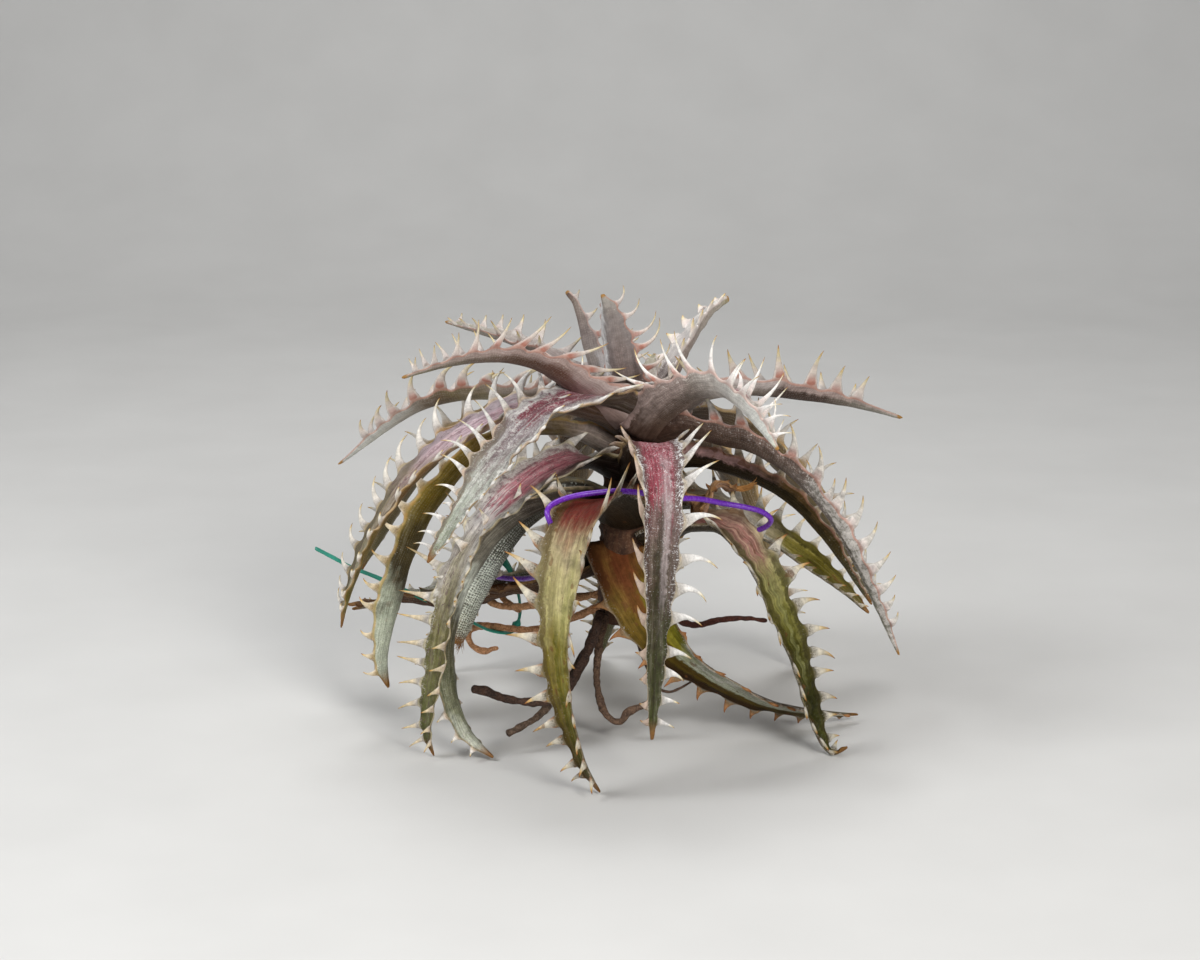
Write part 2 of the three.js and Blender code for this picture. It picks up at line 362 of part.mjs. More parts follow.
// Round pieces: x, y, z and radius along the root.
const ROOTS = {
  root_dark_upper: [[-5.9, -3, 24.7, 1], [-7.4, -6, 20, 1], [-10.1, -10, 14.8, 0.95], [-13.3, -14, 11.5, 0.9], [-16.3, -17, 11.1, 0.9], [-19.5, -18.5, 11.6, 0.85], [-22.5, -19.5, 12.3, 0.85], [-25.1, -20, 13.2, 0.8], [-27.3, -20.3, 14.3, 0.85], [-29.7, -20.5, 14.8, 0.9]],
  root_dark_lower: [[-6.7, -1, 20.9, 0.9], [-9.7, -5, 15.3, 0.9], [-13.2, -10, 11.2, 0.85], [-16.2, -14, 8.9, 0.8], [-17.7, -16, 7.8, 0.8], [-19.5, -17.5, 7.1, 0.75], [-21.4, -18.5, 6.4, 0.75], [-23.3, -19, 5.4, 0.7]],
  root_below_stem: [[-4.3, -2, 25.6, 0.9], [-5.5, -3, 21.1, 0.85], [-6.3, -5, 16.7, 0.8], [-6.5, -7, 12.3, 0.8], [-5.7, -9, 8.1, 0.75], [-4, -10.5, 5.7, 0.7], [-2, -11.5, 5.3, 0.75], [-0.5, -12, 7.4, 0.8], [1.8, -12.3, 8.6, 0.65], [4.4, -12.5, 9.4, 0.5], [6.7, -12.5, 9.6, 0.35]],
  root_hair_right: [[-0.5, -1, 26.2, 0.35], [1.9, -3, 17.1, 0.35], [4.9, -6, 11.1, 0.3], [7.2, -8, 10.2, 0.3], [9.5, -8.5, 11.1, 0.28], [11.8, -8.5, 12.5, 0.22]],
  root_behind_right: [[2, 6, 24.6, 0.7], [7, 12, 20.4, 0.7], [12.6, 17, 16.2, 0.65], [18.4, 21, 16.1, 0.6], [23.6, 24, 15.6, 0.55], [28, 26, 14.4, 0.45]],
  root_tan_outer: [[-5.5, 4, 26.4, 0.8], [-13.8, 10, 23.4, 0.8], [-20.8, 14, 21, 0.8], [-25.9, 17, 20.2, 0.75], [-28.8, 19, 21.7, 0.75], [-28.4, 20.5, 24.6, 0.7], [-26.6, 21.5, 23.1, 0.7], [-25.2, 21, 20.3, 0.65], [-22, 19, 18.6, 0.6]],
  root_tan_inner: [[-5.9, 5, 23.6, 0.8], [-13.4, 12, 18.3, 0.8], [-19.9, 17, 15.2, 0.75], [-26.1, 21, 14.6, 0.75], [-30.7, 24, 13.9, 0.7], [-32.8, 25.5, 11.8, 0.7], [-32, 26, 9.3, 0.65], [-29.6, 25, 8.3, 0.6], [-26.8, 23, 9.6, 0.5]],
};

// route of the wire's centre line
const WIRE = [
  [-29.1, 1, 31.6], [-25.7, -2, 31.5], [-22.5, -5.5, 32.1], [-19.2, -10, 33.5], [-16.2, -16, 36.3], [-14.2, -22, 40.3], [-13.6, -27, 44.5], [-14, -31, 48.1], [-15, -33.6, 50.7], [-15.4, -33.2, 52.3], [-14.6, -31.6, 53.2], [-12.4, -29.6, 53.8], [-9.5, -28.2, 54.2], [-6.2, -27.2, 54.4], [-2.8, -26.4, 54.5], [0.7, -25.8, 54.1], [4.4, -24.6, 53.3], [8.5, -22.4, 52.2], [12.6, -20, 51.4], [16.8, -18, 50.1], [21.1, -17, 49.1], [24.3, -16.2, 48], [26.1, -14.4, 46.1], [25.4, -12, 44.1], [23.1, -9, 42.2], [21.1, -5, 40],
];

// route of the flat tie: x, y, z and the direction that its flat face looks in
const TIES = {
  green_tie: [[-62.2, 12, 33.5, 0.49, 0.01, 0.87], [-58.7, 12.5, 31.5, 0.52, 0.01, 0.85], [-55, 13, 29.2, 0.46, 0, 0.89], [-50.2, 13.6, 27.1, 0.43, 0, 0.9], [-44.7, 14.5, 24.2, 0.5, 0.05, 0.87], [-39.5, 16, 20.9, 0.47, 0.19, 0.86], [-33.6, 18, 17.4, 0.44, 0.21, 0.87], [-27.7, 20.5, 13.9, 0.3, 0.12, 0.94], [-23.7, 22, 13.7, -0.41, -0.4, 0.82], [-22.1, 22, 17.5, 0.99, 0.1, -0.1], [-22.6, 20.5, 22.9, 0.98, -0.14, 0.15], [-24.3, 18, 28.2, 0.89, -0.4, 0.22], [-27.3, 15, 32.3, 0.67, -0.74, -0.04]],
};

// ---------------------------------------------------------------- helpers
const V = (a) => new THREE.Vector3(a[0], a[1], a[2]);
const mix = (a, b, t) => a + (b - a) * t;
const smooth = (a, b, x) => { const t = Math.min(1, Math.max(0, (x - a) / (b - a))); return t * t * (3 - 2 * t); };

// Catmull-Rom through rows of numbers at parameter q in [0, rows.length - 1]
function spline(rows, q) {
  const n = rows.length - 1;
  const i = Math.min(n - 1, Math.max(0, Math.floor(q)));
  const t = q - i;
  const p1 = rows[i], p2 = rows[i + 1];
  const p0 = i > 0 ? rows[i - 1] : p1.map((v, k) => 2 * v - p2[k]);
  const p3 = i + 2 <= n ? rows[i + 2] : p2.map((v, k) => 2 * v - p1[k]);
  return p1.map((_, k) => 0.5 * (2 * p1[k] + (p2[k] - p0[k]) * t
    + (2 * p0[k] - 5 * p1[k] + 4 * p2[k] - p3[k]) * t * t
    + (3 * p1[k] - p0[k] - 3 * p2[k] + p3[k]) * t * t * t));
}

// the curve's parameter at a share u of its length
function lengthTable(rows, steps = 160) {
  const qs = [0], ls = [0];
  let last = V(rows[0]);
  for (let i = 1; i <= steps; i++) {
    const q = (rows.length - 1) * i / steps;
    const p = V(spline(rows, q));
    qs.push(q); ls.push(ls[i - 1] + p.distanceTo(last));
    last = p;
  }
  const total = ls[steps];
  return {
    total,
    at(u) {
      const want = Math.min(1, Math.max(0, u)) * total;
      let i = 1;
      while (i < steps && ls[i] < want) i++;
      const t = (want - ls[i - 1]) / Math.max(1e-9, ls[i] - ls[i - 1]);
      return mix(qs[i - 1], qs[i], t);
    },
  };
}

// position, tangent, upper-face normal, sideways direction and width at a share u
function leafFrame(rows, table, u) {
  const q = table.at(u);
  const r = spline(rows, q);
  const n = rows.length - 1;
  const a = V(spline(rows, Math.max(0, q - 0.02))), b = V(spline(rows, Math.min(n, q + 0.02)));
  const T = b.sub(a).normalize();
  const N = new THREE.Vector3(r[3], r[4], r[5]);
  N.addScaledVector(T, -N.dot(T)).normalize();
  const B = new THREE.Vector3().crossVectors(T, N);
  return { P: V(r), T, N, B, w: Math.max(0.4, r[6]) };
}

function geometry(points, faces) {
  const g = new THREE.BufferGeometry();
  g.setAttribute('position', new THREE.BufferAttribute(new Float32Array(points.flatMap((p) => [p.x, p.y, p.z])), 3));
  g.setIndex(faces.flat());
  // faces point out
  let vol = 0;
  const c = new THREE.Vector3();
  for (const f of faces) vol += points[f[0]].dot(c.crossVectors(points[f[1]], points[f[2]]));
  if (vol < 0) g.setIndex(faces.map((f) => [f[0], f[2], f[1]]).flat());
  return g;
}

// A leaf: a channelled blade of six-cornered sections; every interval of each margin
// is drawn out into one spine. grow thickens the whole thing, for cutting its neighbours.
function leafGeometry(leaf, grow = 0) {
  const rows = leaf.stations, n = leaf.spines;
  const table = lengthTable(rows);
  const us = [0];
  for (let j = 0; j <= n; j++) us.push(FIRST_SPINE + (LAST_SPINE - FIRST_SPINE) * (1 - (1 - j / n) ** SPINE_CROWDING));
  us.push(1);
  const pts = [], faces = [];
  const frames = us.map((u) => leafFrame(rows, table, u));
  if (grow) {
    frames[0].P.addScaledVector(frames[0].T, -grow);
    frames[us.length - 1].P.addScaledVector(frames[us.length - 1].T, grow);
  }
  for (const f of frames) {
    const h = f.w / 2 + grow;
    const t = LEAF_THICK_BASE + LEAF_THICK_SHARE * f.w + 2 * grow;
    const m = MARGIN_THICK_BASE + MARGIN_THICK_SHARE * f.w + 2 * grow;
    const c = CHANNEL * f.w / 2;
    const at = (b, k) => f.P.clone().addScaledVector(f.B, b).addScaledVector(f.N, k);
    pts.push(at(-h, c + m / 2), at(0, t / 2), at(h, c + m / 2), at(h, c - m / 2), at(0, -t / 2), at(-h, c - m / 2));
  }
  const cap = (o, flip) => {
    for (const q of [[0, 1, 4, 5], [1, 2, 3, 4]]) {
      const a = q.map((k) => k + o);
      const two = [[a[0], a[1], a[2]], [a[0], a[2], a[3]]];
      faces.push(...(flip ? two.map((f) => [f[0], f[2], f[1]]) : two));
    }
  };
  cap(0, false);
  cap(6 * (us.length - 1), true);
  for (let i = 0; i + 1 < us.length; i++) {
    const o = 6 * i;
    for (let k = 0; k < 6; k++) {
      const a = o + k, b = o + (k + 1) % 6, c = b + 6, d = a + 6;
      const side = k === 2 ? 1 : k === 5 ? -1 : 0;
      if (side && i >= 1 && i <= n) {
        const u = (us[i] + us[i + 1]) / 2;
        const f = leafFrame(rows, table, u);
        const lean = THREE.MathUtils.degToRad(leaf.back * (1 - smooth(0.15, 0.65, u)) - 6 * smooth(0.6, 0.9, u));
        const rise = THREE.MathUtils.degToRad(leaf.rise);
        const reach = leaf.reach * mix(1, 0.45, smooth(0.5, 1, u)) * mix(0.85, 1, smooth(0, 0.25, u)) + 3.5 * grow;
        const dir = f.B.clone().multiplyScalar(side * Math.cos(rise) * Math.cos(lean)).addScaledVector(f.T, -Math.sin(lean)).addScaledVector(f.N, Math.sin(rise) * Math.cos(lean));
        const root = f.P.clone().addScaledVector(f.B, side * f.w / 2).addScaledVector(f.N, CHANNEL * f.w / 2);
        pts.push(root.addScaledVector(dir, reach));
        const e = pts.length - 1;
        faces.push([a, e, d].reverse(), [d, e, c].reverse(), [c, e, b].reverse(), [b, e, a].reverse());
      } else {
        faces.push([a, c, b], [a, d, c]);
      }
    }
  }
  return geometry(pts, faces);
}

// a closed tube through points with a radius each, round or flat in section
function tubeGeometry(rows, sides, steps, ends = true) {
  const pts = [], faces = [];
  const table = lengthTable(rows);
  let N = null;
  for (let i = 0; i <= steps; i++) {
    const q = table.at(i / steps);
    const r = spline(rows, q);
    const a = V(spline(rows, Math.max(0, q - 0.02))), b = V(spline(rows, Math.min(rows.length - 1, q + 0.02)));
    const T = b.sub(a).normalize();
    if (!N) N = new THREE.Vector3(0, 0, 1).addScaledVector(T, -T.z).normalize();
    N.addScaledVector(T, -N.dot(T)).normalize();
    const B = new THREE.Vector3().crossVectors(T, N);
    for (let k = 0; k < sides; k++) {
      const an = 2 * Math.PI * k / sides;
      pts.push(V(r).addScaledVector(N, r[3] * Math.cos(an)).addScaledVector(B, r[3] * Math.sin(an)));
    }
  }
  for (let i = 0; i < steps; i++) for (let k = 0; k < sides; k++) {
    const a = i * sides + k, b = i * sides + (k + 1) % sides, c = b + sides, d = a + sides;
    faces.push([a, b, c], [a, c, d]);
  }
  const last = steps * sides;
  for (let k = 1; k + 1 < sides; k++) {
    faces.push([0, k + 1, k]);
    faces.push([last, last + k, last + k + 1]);
  }
  return geometry(pts, faces);
}

// a flat strip with a rectangular section; rows hold x, y, z and the flat face's direction
function stripGeometry(rows, width, thick, steps) {
  const pts = [], faces = [];
  const table = lengthTable(rows);
  for (let i = 0; i <= steps; i++) {
    const q = table.at(i / steps);
    const r = spline(rows, q);
    const a = V(spline(rows, Math.max(0, q - 0.02))), b = V(spline(rows, Math.min(rows.length - 1, q + 0.02)));
    const T = b.sub(a).normalize();
    const N = new THREE.Vector3(r[3], r[4], r[5]);
    N.addScaledVector(T, -N.dot(T)).normalize();
    const B = new THREE.Vector3().crossVectors(T, N);
    for (const [s, k] of [[-1, 1], [1, 1], [1, -1], [-1, -1]]) pts.push(V(r).addScaledVector(B, s * width / 2).addScaledVector(N, k * thick / 2));
  }
  for (let i = 0; i < steps; i++) for (let k = 0; k < 4; k++) {
    const a = i * 4 + k, b = i * 4 + (k + 1) % 4, c = b + 4, d = a + 4;
    faces.push([a, b, c], [a, c, d]);
  }
  faces.push([0, 2, 1], [0, 3, 2], [steps * 4, steps * 4 + 1, steps * 4 + 2], [steps * 4, steps * 4 + 2, steps * 4 + 3]);
  return geometry(pts, faces);
}

function solid(g) {
  return new wasm.Manifold(new wasm.Mesh({
    numProp: 3,
    vertProperties: new Float32Array(g.attributes.position.array),
    triVerts: new Uint32Array(g.index.array),
  }));
}

function largest(m) {
  const parts = m.decompose();
  let best = parts[0];
  for (const p of parts) if (p.volume() > best.volume()) best = p;
  return best;
}

function toGeometry(m) {
  const mesh = m.getMesh();
  const g = new THREE.BufferGeometry();
  g.setAttribute('position', new THREE.BufferAttribute(new Float32Array(mesh.vertProperties), 3));
  g.setIndex(new THREE.BufferAttribute(new Uint32Array(mesh.triVerts), 1));
  return g;
}

const touching = (a, b) => {
  const p = a.boundingBox(), q = b.boundingBox();
  for (let k = 0; k < 3; k++) if (p.min[k] > q.max[k] || q.min[k] > p.max[k]) return false;
  return true;
};

// ---------------------------------------------------------------- the plant
const group = new THREE.Group();
group.name = 'dyckia';
const material = (colour, rough) => new THREE.MeshStandardMaterial({ color: colour, roughness: rough, metalness: 0 });
const placed = [];                // the pieces already placed: each one grown by the gap, and itself

// a new piece gives way to every piece placed before it, with the gap between them
function place(name, g, grown, mat) {
  let m = solid(g);
  for (const [around, itself] of placed) if (touching(m, around)) {
    m = m.subtract(around);
    if (m.intersect(itself).volume() > 1e-4) m = m.subtract(itself);
  }
  m = largest(m).simplify(0.02);
  placed.push([solid(grown), m]);
  const mesh = new THREE.Mesh(toGeometry(m), mat);
  mesh.name = name;
  mesh.position.set(ORIGIN[0], ORIGIN[1], ORIGIN[2]);
  group.add(mesh);
}

// stem: a turned profile with a flat trimmed lower end
function stemGeometry(grow) {
  const outline = STEM_PROFILE.map(([z, r]) => new THREE.Vector2(r + grow, z));
  outline[0].y -= grow;
  outline[outline.length - 1].y += grow;
  const pts = [], faces = [], rings = outline.length;
  for (const v of outline) for (let k = 0; k < STEM_SIDES; k++) {
    const a = 2 * Math.PI * k / STEM_SIDES;
    pts.push(new THREE.Vector3(STEM_CENTRE[0] + v.x * Math.cos(a), STEM_CENTRE[1] + v.x * Math.sin(a), v.y));
  }
  for (let i = 0; i + 1 < rings; i++) for (let k = 0; k < STEM_SIDES; k++) {
    const a = i * STEM_SIDES + k, b = i * STEM_SIDES + (k + 1) % STEM_SIDES;
    faces.push([a, b, b + STEM_SIDES], [a, b + STEM_SIDES, a + STEM_SIDES]);
  }
  const top = (rings - 1) * STEM_SIDES;
  for (let k = 1; k + 1 < STEM_SIDES; k++) faces.push([0, k + 1, k], [top, top + k, top + k + 1]);
  return geometry(pts, faces);
}

place('stem', stemGeometry(0), stemGeometry(GAP), material(0x4a3524, 0.9));

const grownTube = (rows, by) => rows.map((r) => [r[0], r[1], r[2], r[3] + by]);

{
  const rows = WIRE.map((p) => [...p, WIRE_RADIUS]);
  place('wire_tie_purple', tubeGeometry(rows, WIRE_SIDES, WIRE_STEPS), tubeGeometry(grownTube(rows, GAP), WIRE_SIDES, WIRE_STEPS), material(0x5a32a8, 0.35));
}
const leaves = Object.entries(LEAVES);
const placeLeaves = (list) => {
  for (const [name, leaf] of list) place(name, leafGeometry(leaf), leafGeometry(leaf, GAP), material(leaf.colour, 0.75));
};
placeLeaves(leaves.slice(0, LEAVES_BEFORE_TIES));
for (const [name, rows] of Object.entries(TIES)) {
  place(name, stripGeometry(rows, TIE_WIDTH, TIE_THICK, 24), stripGeometry(rows, TIE_WIDTH + 2 * GAP, TIE_THICK + 2 * GAP, 24), material(0x1f7a5c, 0.6));
}
placeLeaves(leaves.slice(LEAVES_BEFORE_TIES));
for (const [name, rows] of Object.entries(ROOTS)) {
  const steps = 3 * (rows.length - 1);
  place(name, tubeGeometry(rows, ROOT_SIDES, steps), tubeGeometry(grownTube(rows, GAP), ROOT_SIDES, steps), material(0x3a2820, 0.95));
}

export default group;
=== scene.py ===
"""Dyckia bromeliad, bare root: visual model of the leaves, spines, stem, roots and ties.

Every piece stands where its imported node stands. All lengths in the tables are millimetres
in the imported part's frame; pieces are written in metres.
"""
import math
import bpy
import bmesh
import numpy as np
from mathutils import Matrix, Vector, noise


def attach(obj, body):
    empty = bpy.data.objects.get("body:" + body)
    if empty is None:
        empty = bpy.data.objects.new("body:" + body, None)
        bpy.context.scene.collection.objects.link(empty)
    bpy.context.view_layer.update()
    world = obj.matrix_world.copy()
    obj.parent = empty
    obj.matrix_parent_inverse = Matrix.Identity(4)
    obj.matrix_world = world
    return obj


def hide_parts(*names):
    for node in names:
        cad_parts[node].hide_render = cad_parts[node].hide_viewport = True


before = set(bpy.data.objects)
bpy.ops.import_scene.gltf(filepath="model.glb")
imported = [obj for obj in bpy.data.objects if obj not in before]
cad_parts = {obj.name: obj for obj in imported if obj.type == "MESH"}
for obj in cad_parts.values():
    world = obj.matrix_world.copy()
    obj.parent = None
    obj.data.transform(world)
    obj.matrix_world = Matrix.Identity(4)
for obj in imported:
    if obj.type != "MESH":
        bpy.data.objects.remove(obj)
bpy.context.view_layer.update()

MM = 0.001
SHIFT = np.array([4.06, 1.41, -1.10])      # the tables' frame to the part's frame, mm

# ------------------------------------------------------------------ tables
# Each leaf: stations from the stem to the tip as x, y, z, upper-face direction, width.
LEAVES = {
    "front_leaf_centre": dict(age="mid", slot=None, spines=13, reach=8.0, back=50, rise=38, stations=[
        (1.7, -5, 51, -0.01, 0.55, 0.84, 10),
        (3, -16, 58.3, -0.02, 0.45, 0.89, 10),
        (4.1, -28, 62.7, 0.03, 0.06, 1, 9.4),
        (4.8, -39, 59.6, 0.25, -0.47, 0.84, 7.8),
        (4.9, -44, 53.5, 0.31, -0.82, 0.48, 7.2),
        (4.5, -46.5, 46.9, 0.3, -0.94, 0.17, 6.2),
        (4.2, -47, 37.9, 0.31, -0.95, -0.06, 4.8),
        (3.9, -45.5, 28.2, 0.3, -0.94, -0.18, 3.4),
        (3.6, -43.5, 19.1, 0.26, -0.93, -0.26, 2.2),
        (3.5, -41, 11.7, 0.22, -0.92, -0.31, 0.5)]),
    "front_leaf_left_of_centre": dict(age="old", slot=None, spines=14, reach=7.6, back=48, rise=50, stations=[
        (-0.5, -5, 42, 0.03, 0.51, 0.86, 12),
        (-3.5, -15, 48, -0.02, 0.41, 0.91, 11.4),
        (-7, -27, 51.8, -0.15, 0.08, 0.99, 10.2),
        (-10.9, -35.5, 48.6, -0.23, -0.49, 0.84, 9.2),
        (-12.7, -41.5, 41.8, -0.33, -0.79, 0.52, 7.7),
        (-13.5, -44.5, 33.5, -0.41, -0.89, 0.21, 5.9),
        (-13, -45.5, 24.5, -0.49, -0.87, -0.06, 4.7),
        (-11.3, -44.5, 15.7, -0.55, -0.79, -0.28, 3.6),
        (-8.8, -42.4, 7.4, -0.63, -0.64, -0.44, 2.6),
        (-5.9, -39.8, 1.3, -0.71, -0.46, -0.53, 0.5)]),
    "left_leaf_upper_front": dict(age="mid", slot=None, spines=13, reach=7.8, back=58, rise=48, stations=[
        (1.7, -4, 63.2, 0.16, 0.55, 0.82, 11),
        (-4.8, -8, 67.2, 0.15, 0.33, 0.93, 11),
        (-10.9, -12, 68, 0.01, -0.15, 0.99, 10.2),
        (-16.8, -15.5, 66.1, -0.18, -0.43, 0.89, 9.4),
        (-21.5, -19.5, 62.3, -0.34, -0.48, 0.81, 8.8),
        (-25.3, -23, 58.2, -0.38, -0.54, 0.75, 7.8),
        (-28.9, -26, 53.8, -0.43, -0.58, 0.69, 6),
        (-32.1, -28.5, 49.4, -0.47, -0.62, 0.63, 4),
        (-34.8, -30, 45.4, -0.52, -0.62, 0.59, 2.4),
        (-37.3, -31, 42.1, -0.52, -0.62, 0.59, 0.5)]),
    "left_leaf_lower_front": dict(age="mid", slot=None, spines=15, reach=7.6, back=58, rise=52, stations=[
        (-1.7, -3, 51.3, 0.2, 0.49, 0.85, 12),
        (-7.4, -7, 55, 0.14, 0.22, 0.96, 12),
        (-14, -10.5, 54.9, -0.12, -0.27, 0.96, 11),
        (-20.1, -13.5, 51.5, -0.33, -0.44, 0.83, 9.8),
        (-25.1, -16, 47.5, -0.52, -0.45, 0.72, 8.8),
        (-29.4, -18, 42.1, -0.72, -0.39, 0.58, 7.8),
        (-32.5, -19.7, 35.8, -0.73, -0.55, 0.4, 7),
        (-34.6, -21, 28.4, -0.72, -0.64, 0.26, 6.2),
        (-36.1, -21.8, 20.5, -0.71, -0.68, 0.16, 5.2),
        (-37.6, -21.6, 13, -0.64, -0.77, 0.04, 3.8),
        (-38.3, -20.8, 6.4, -0.65, -0.74, -0.14, 2.2),
        (-37.3, -19.6, 1.2, -0.61, -0.74, -0.29, 0.4)]),
    "right_leaf_arch_front": dict(age="young", slot=None, spines=11, reach=8.0, back=55, rise=50, stations=[
        (2.3, -4, 59.4, -0.13, 0.78, 0.62, 12),
        (6.5, -8, 65.3, -0.06, 0.72, 0.69, 12),
        (11.6, -13.5, 70.2, 0.07, 0.55, 0.83, 10.4),
        (16.9, -19, 71.6, 0.4, 0.29, 0.87, 8.4),
        (20.8, -22.8, 69.2, 0.68, 0.07, 0.73, 6.6),
        (23.8, -25, 65.8, 0.78, 0.06, 0.62, 4.2),
        (26.6, -26.5, 62.2, 0.79, 0.05, 0.61, 0.6)]),
    "crown_leaf_upright": dict(age="young", slot=None, spines=7, reach=7.2, back=20, rise=55, stations=[
        (0.2, -3, 60.3, 0.32, 0.86, 0.39, 10),
        (-0.6, -5, 65.4, 0.36, 0.87, 0.33, 9.6),
        (-1.7, -6.2, 71, 0.41, 0.88, 0.24, 7.6),
        (-2.7, -7, 76.5, 0.47, 0.86, 0.19, 6.2),
        (-3.5, -7.4, 80.8, 0.46, 0.87, 0.18, 5.2),
        (-4.4, -7.8, 84.7, 0.45, 0.86, 0.23, 3.4),
        (-5.5, -8.2, 87.7, 0.46, 0.84, 0.28, 0.6)]),
    "left_leaf_upper": dict(age="young", slot=None, spines=11, reach=8.4, back=52, rise=52, stations=[
        (-0.6, -3, 61.1, 0.2, 0.68, 0.7, 11),
        (-4.8, -6, 65.2, 0.23, 0.67, 0.71, 10.6),
        (-9.6, -9, 69.7, 0.21, 0.65, 0.73, 9.6),
        (-15, -12.5, 74, 0.17, 0.56, 0.81, 8.2),
        (-20.6, -15.5, 76.5, 0.04, 0.46, 0.89, 7),
        (-26, -18.2, 77.4, -0.1, 0.36, 0.93, 6),
        (-31.4, -20.6, 77.3, -0.21, 0.3, 0.93, 4.8),
        (-36.8, -22.8, 76.4, -0.28, 0.21, 0.94, 3.2),
        (-41.8, -24.8, 75.2, -0.28, 0.08, 0.96, 0.5)]),
    "front_leaf_right": dict(age="old", slot=None, spines=13, reach=7.2, back=45, rise=42, stations=[
        (3.7, -4, 37.8, -0.24, 0.55, 0.8, 11),
        (11.2, -8, 42.8, -0.22, 0.21, 0.95, 10),
        (18.6, -12, 43, 0.26, -0.28, 0.92, 9),
        (23.4, -15, 37.2, 0.61, -0.52, 0.6, 8.2),
        (27.2, -17, 30, 0.69, -0.58, 0.45, 7.4),
        (30, -18.5, 22.6, 0.73, -0.6, 0.34, 6.7),
        (32.3, -18.8, 15.6, 0.76, -0.6, 0.25, 5.5),
        (34.1, -18.6, 9.6, 0.78, -0.59, 0.21, 4.2),
        (35.8, -18.2, 4.3, 0.8, -0.51, 0.34, 2.8),
        (38.1, -18, 1.1, 0.33, -0.11, 0.94, 1.4),
        (41.1, -18, 2.5, -0.42, 0.04, 0.91, 0.4)]),
    "right_leaf_long_arch": dict(age="mid", slot=None, spines=15, reach=6.8, back=48, rise=50, stations=[
        (1.7, -2, 57, -0.03, 0.66, 0.75, 11),
        (9.2, -6, 60.8, 0.12, 0.6, 0.79, 10),
        (16.6, -9.5, 60.4, 0.35, 0.52, 0.78, 9),
        (23.1, -12.5, 59, 0.47, 0.44, 0.76, 8.4),
        (28.8, -14.6, 55.8, 0.63, 0.33, 0.7, 7.9),
        (33.8, -16.4, 51.3, 0.75, 0.26, 0.61, 7.6),
        (37.9, -17.6, 46, 0.83, 0.23, 0.51, 7),
        (41.1, -18.4, 40.4, 0.86, 0.26, 0.43, 5.9),
        (44, -18.9, 34.6, 0.86, 0.32, 0.4, 4.5),
        (46.9, -19.1, 28.4, 0.86, 0.34, 0.39, 2.8),
        (50.3, -19, 20.8, 0.85, 0.37, 0.38, 0.4)]),
    "left_leaf_long_arch": dict(age="mid", slot=None, spines=15, reach=7.2, back=40, rise=52, stations=[
        (-0.1, 0, 58.9, 0.24, 0.58, 0.78, 11),
        (-6.3, -3, 63, 0.24, 0.44, 0.87, 10.5),
        (-13.4, -5.5, 65.3, 0.08, 0.16, 0.98, 10),
        (-20.9, -8, 65.1, -0.14, -0.13, 0.98, 9.4),
        (-28.4, -10, 62.6, -0.35, -0.22, 0.91, 8.8),
        (-35.4, -12, 58.5, -0.54, -0.25, 0.8, 8),
        (-41.6, -13.5, 52.7, -0.68, -0.28, 0.68, 7),
        (-46.3, -14.6, 46.4, -0.8, -0.24, 0.55, 6.2),
        (-50, -15, 39.7, -0.88, -0.2, 0.43, 5.2),
        (-52.5, -15, 33.5, -0.93, -0.15, 0.35, 3.9),
        (-54.1, -15, 28.6, -0.96, -0.08, 0.25, 2.4),
        (-54.8, -14.6, 25, -0.98, -0.11, 0.17, 0.4)]),
    "low_leaf_right": dict(age="old", slot=None, spines=11, reach=4.2, back=25, rise=30, stations=[
        (-3.2, 0, 38.7, -0.17, -0.67, 0.72, 12),
        (-1.3, -6, 33.6, -0.2, -0.76, 0.61, 11.5),
        (2.1, -10, 28, -0.28, -0.91, 0.32, 10.5),
        (6.7, -12.5, 22, -0.36, -0.93, -0.11, 8.8),
        (12, -12.5, 17.2, -0.3, -0.81, -0.51, 7.4),
        (19.4, -11, 12.1, -0.22, -0.71, -0.67, 6.2),
        (27.2, -8.5, 7.9, -0.1, -0.59, -0.8, 5),
        (34.5, -3.8, 5, 0, -0.51, -0.86, 3.6),
        (40.2, -1, 3.5, -0.02, -0.39, -0.92, 2.2),
        (44.8, 1.6, 2.5, -0.02, -0.34, -0.94, 0.4)]),
    "crown_leaf_right_back": dict(age="young", slot=None, spines=7, reach=5.4, back=20, rise=45, stations=[
        (3, 3, 60.4, -0.77, -0.22, 0.6, 9),
        (5.7, 7, 65.4, -0.76, -0.23, 0.6, 8),
        (8.3, 11, 70.1, -0.74, -0.22, 0.64, 6.6),
        (11.3, 15, 74.7, -0.71, -0.18, 0.68, 4.8),
        (14.3, 18.6, 78.4, -0.65, -0.11, 0.75, 3.2),
        (16.9, 21.4, 80.5, -0.52, -0.02, 0.85, 1.8),
        (19.4, 24, 81.6, -0.46, 0.05, 0.88, 0.4)]),
    "crown_leaf_left_back": dict(age="young", slot=None, spines=6, reach=4.4, back=20, rise=45, stations=[
        (-1.7, 3, 59.4, 0.81, 0.54, 0.22, 9),
        (-4.3, 5, 64.4, 0.86, 0.48, 0.19, 8.4),
        (-6.3, 7, 69.9, 0.85, 0.51, 0.12, 6.8),
        (-8.2, 9, 74.8, 0.86, 0.5, 0.12, 5.4),
        (-9.7, 10.5, 79.9, 0.86, 0.5, 0.12, 3),
        (-10.7, 11.4, 82.8, 0.85, 0.47, 0.25, 1.5),
        (-12.3, 12.4, 84.8, 0.81, 0.38, 0.44, 0.4)]),
    "left_leaf_long_back": dict(age="young", slot=None, spines=12, reach=6.4, back=40, rise=58, stations=[
        (-1.1, 4, 61.5, 0.35, 0.54, 0.76, 10),
        (-8.2, 5.5, 63.8, 0.27, 0.47, 0.84, 9.2),
        (-15.5, 7, 64.4, 0.15, 0.44, 0.88, 8.6),
        (-22.9, 9, 64.6, 0.1, 0.4, 0.91, 8),
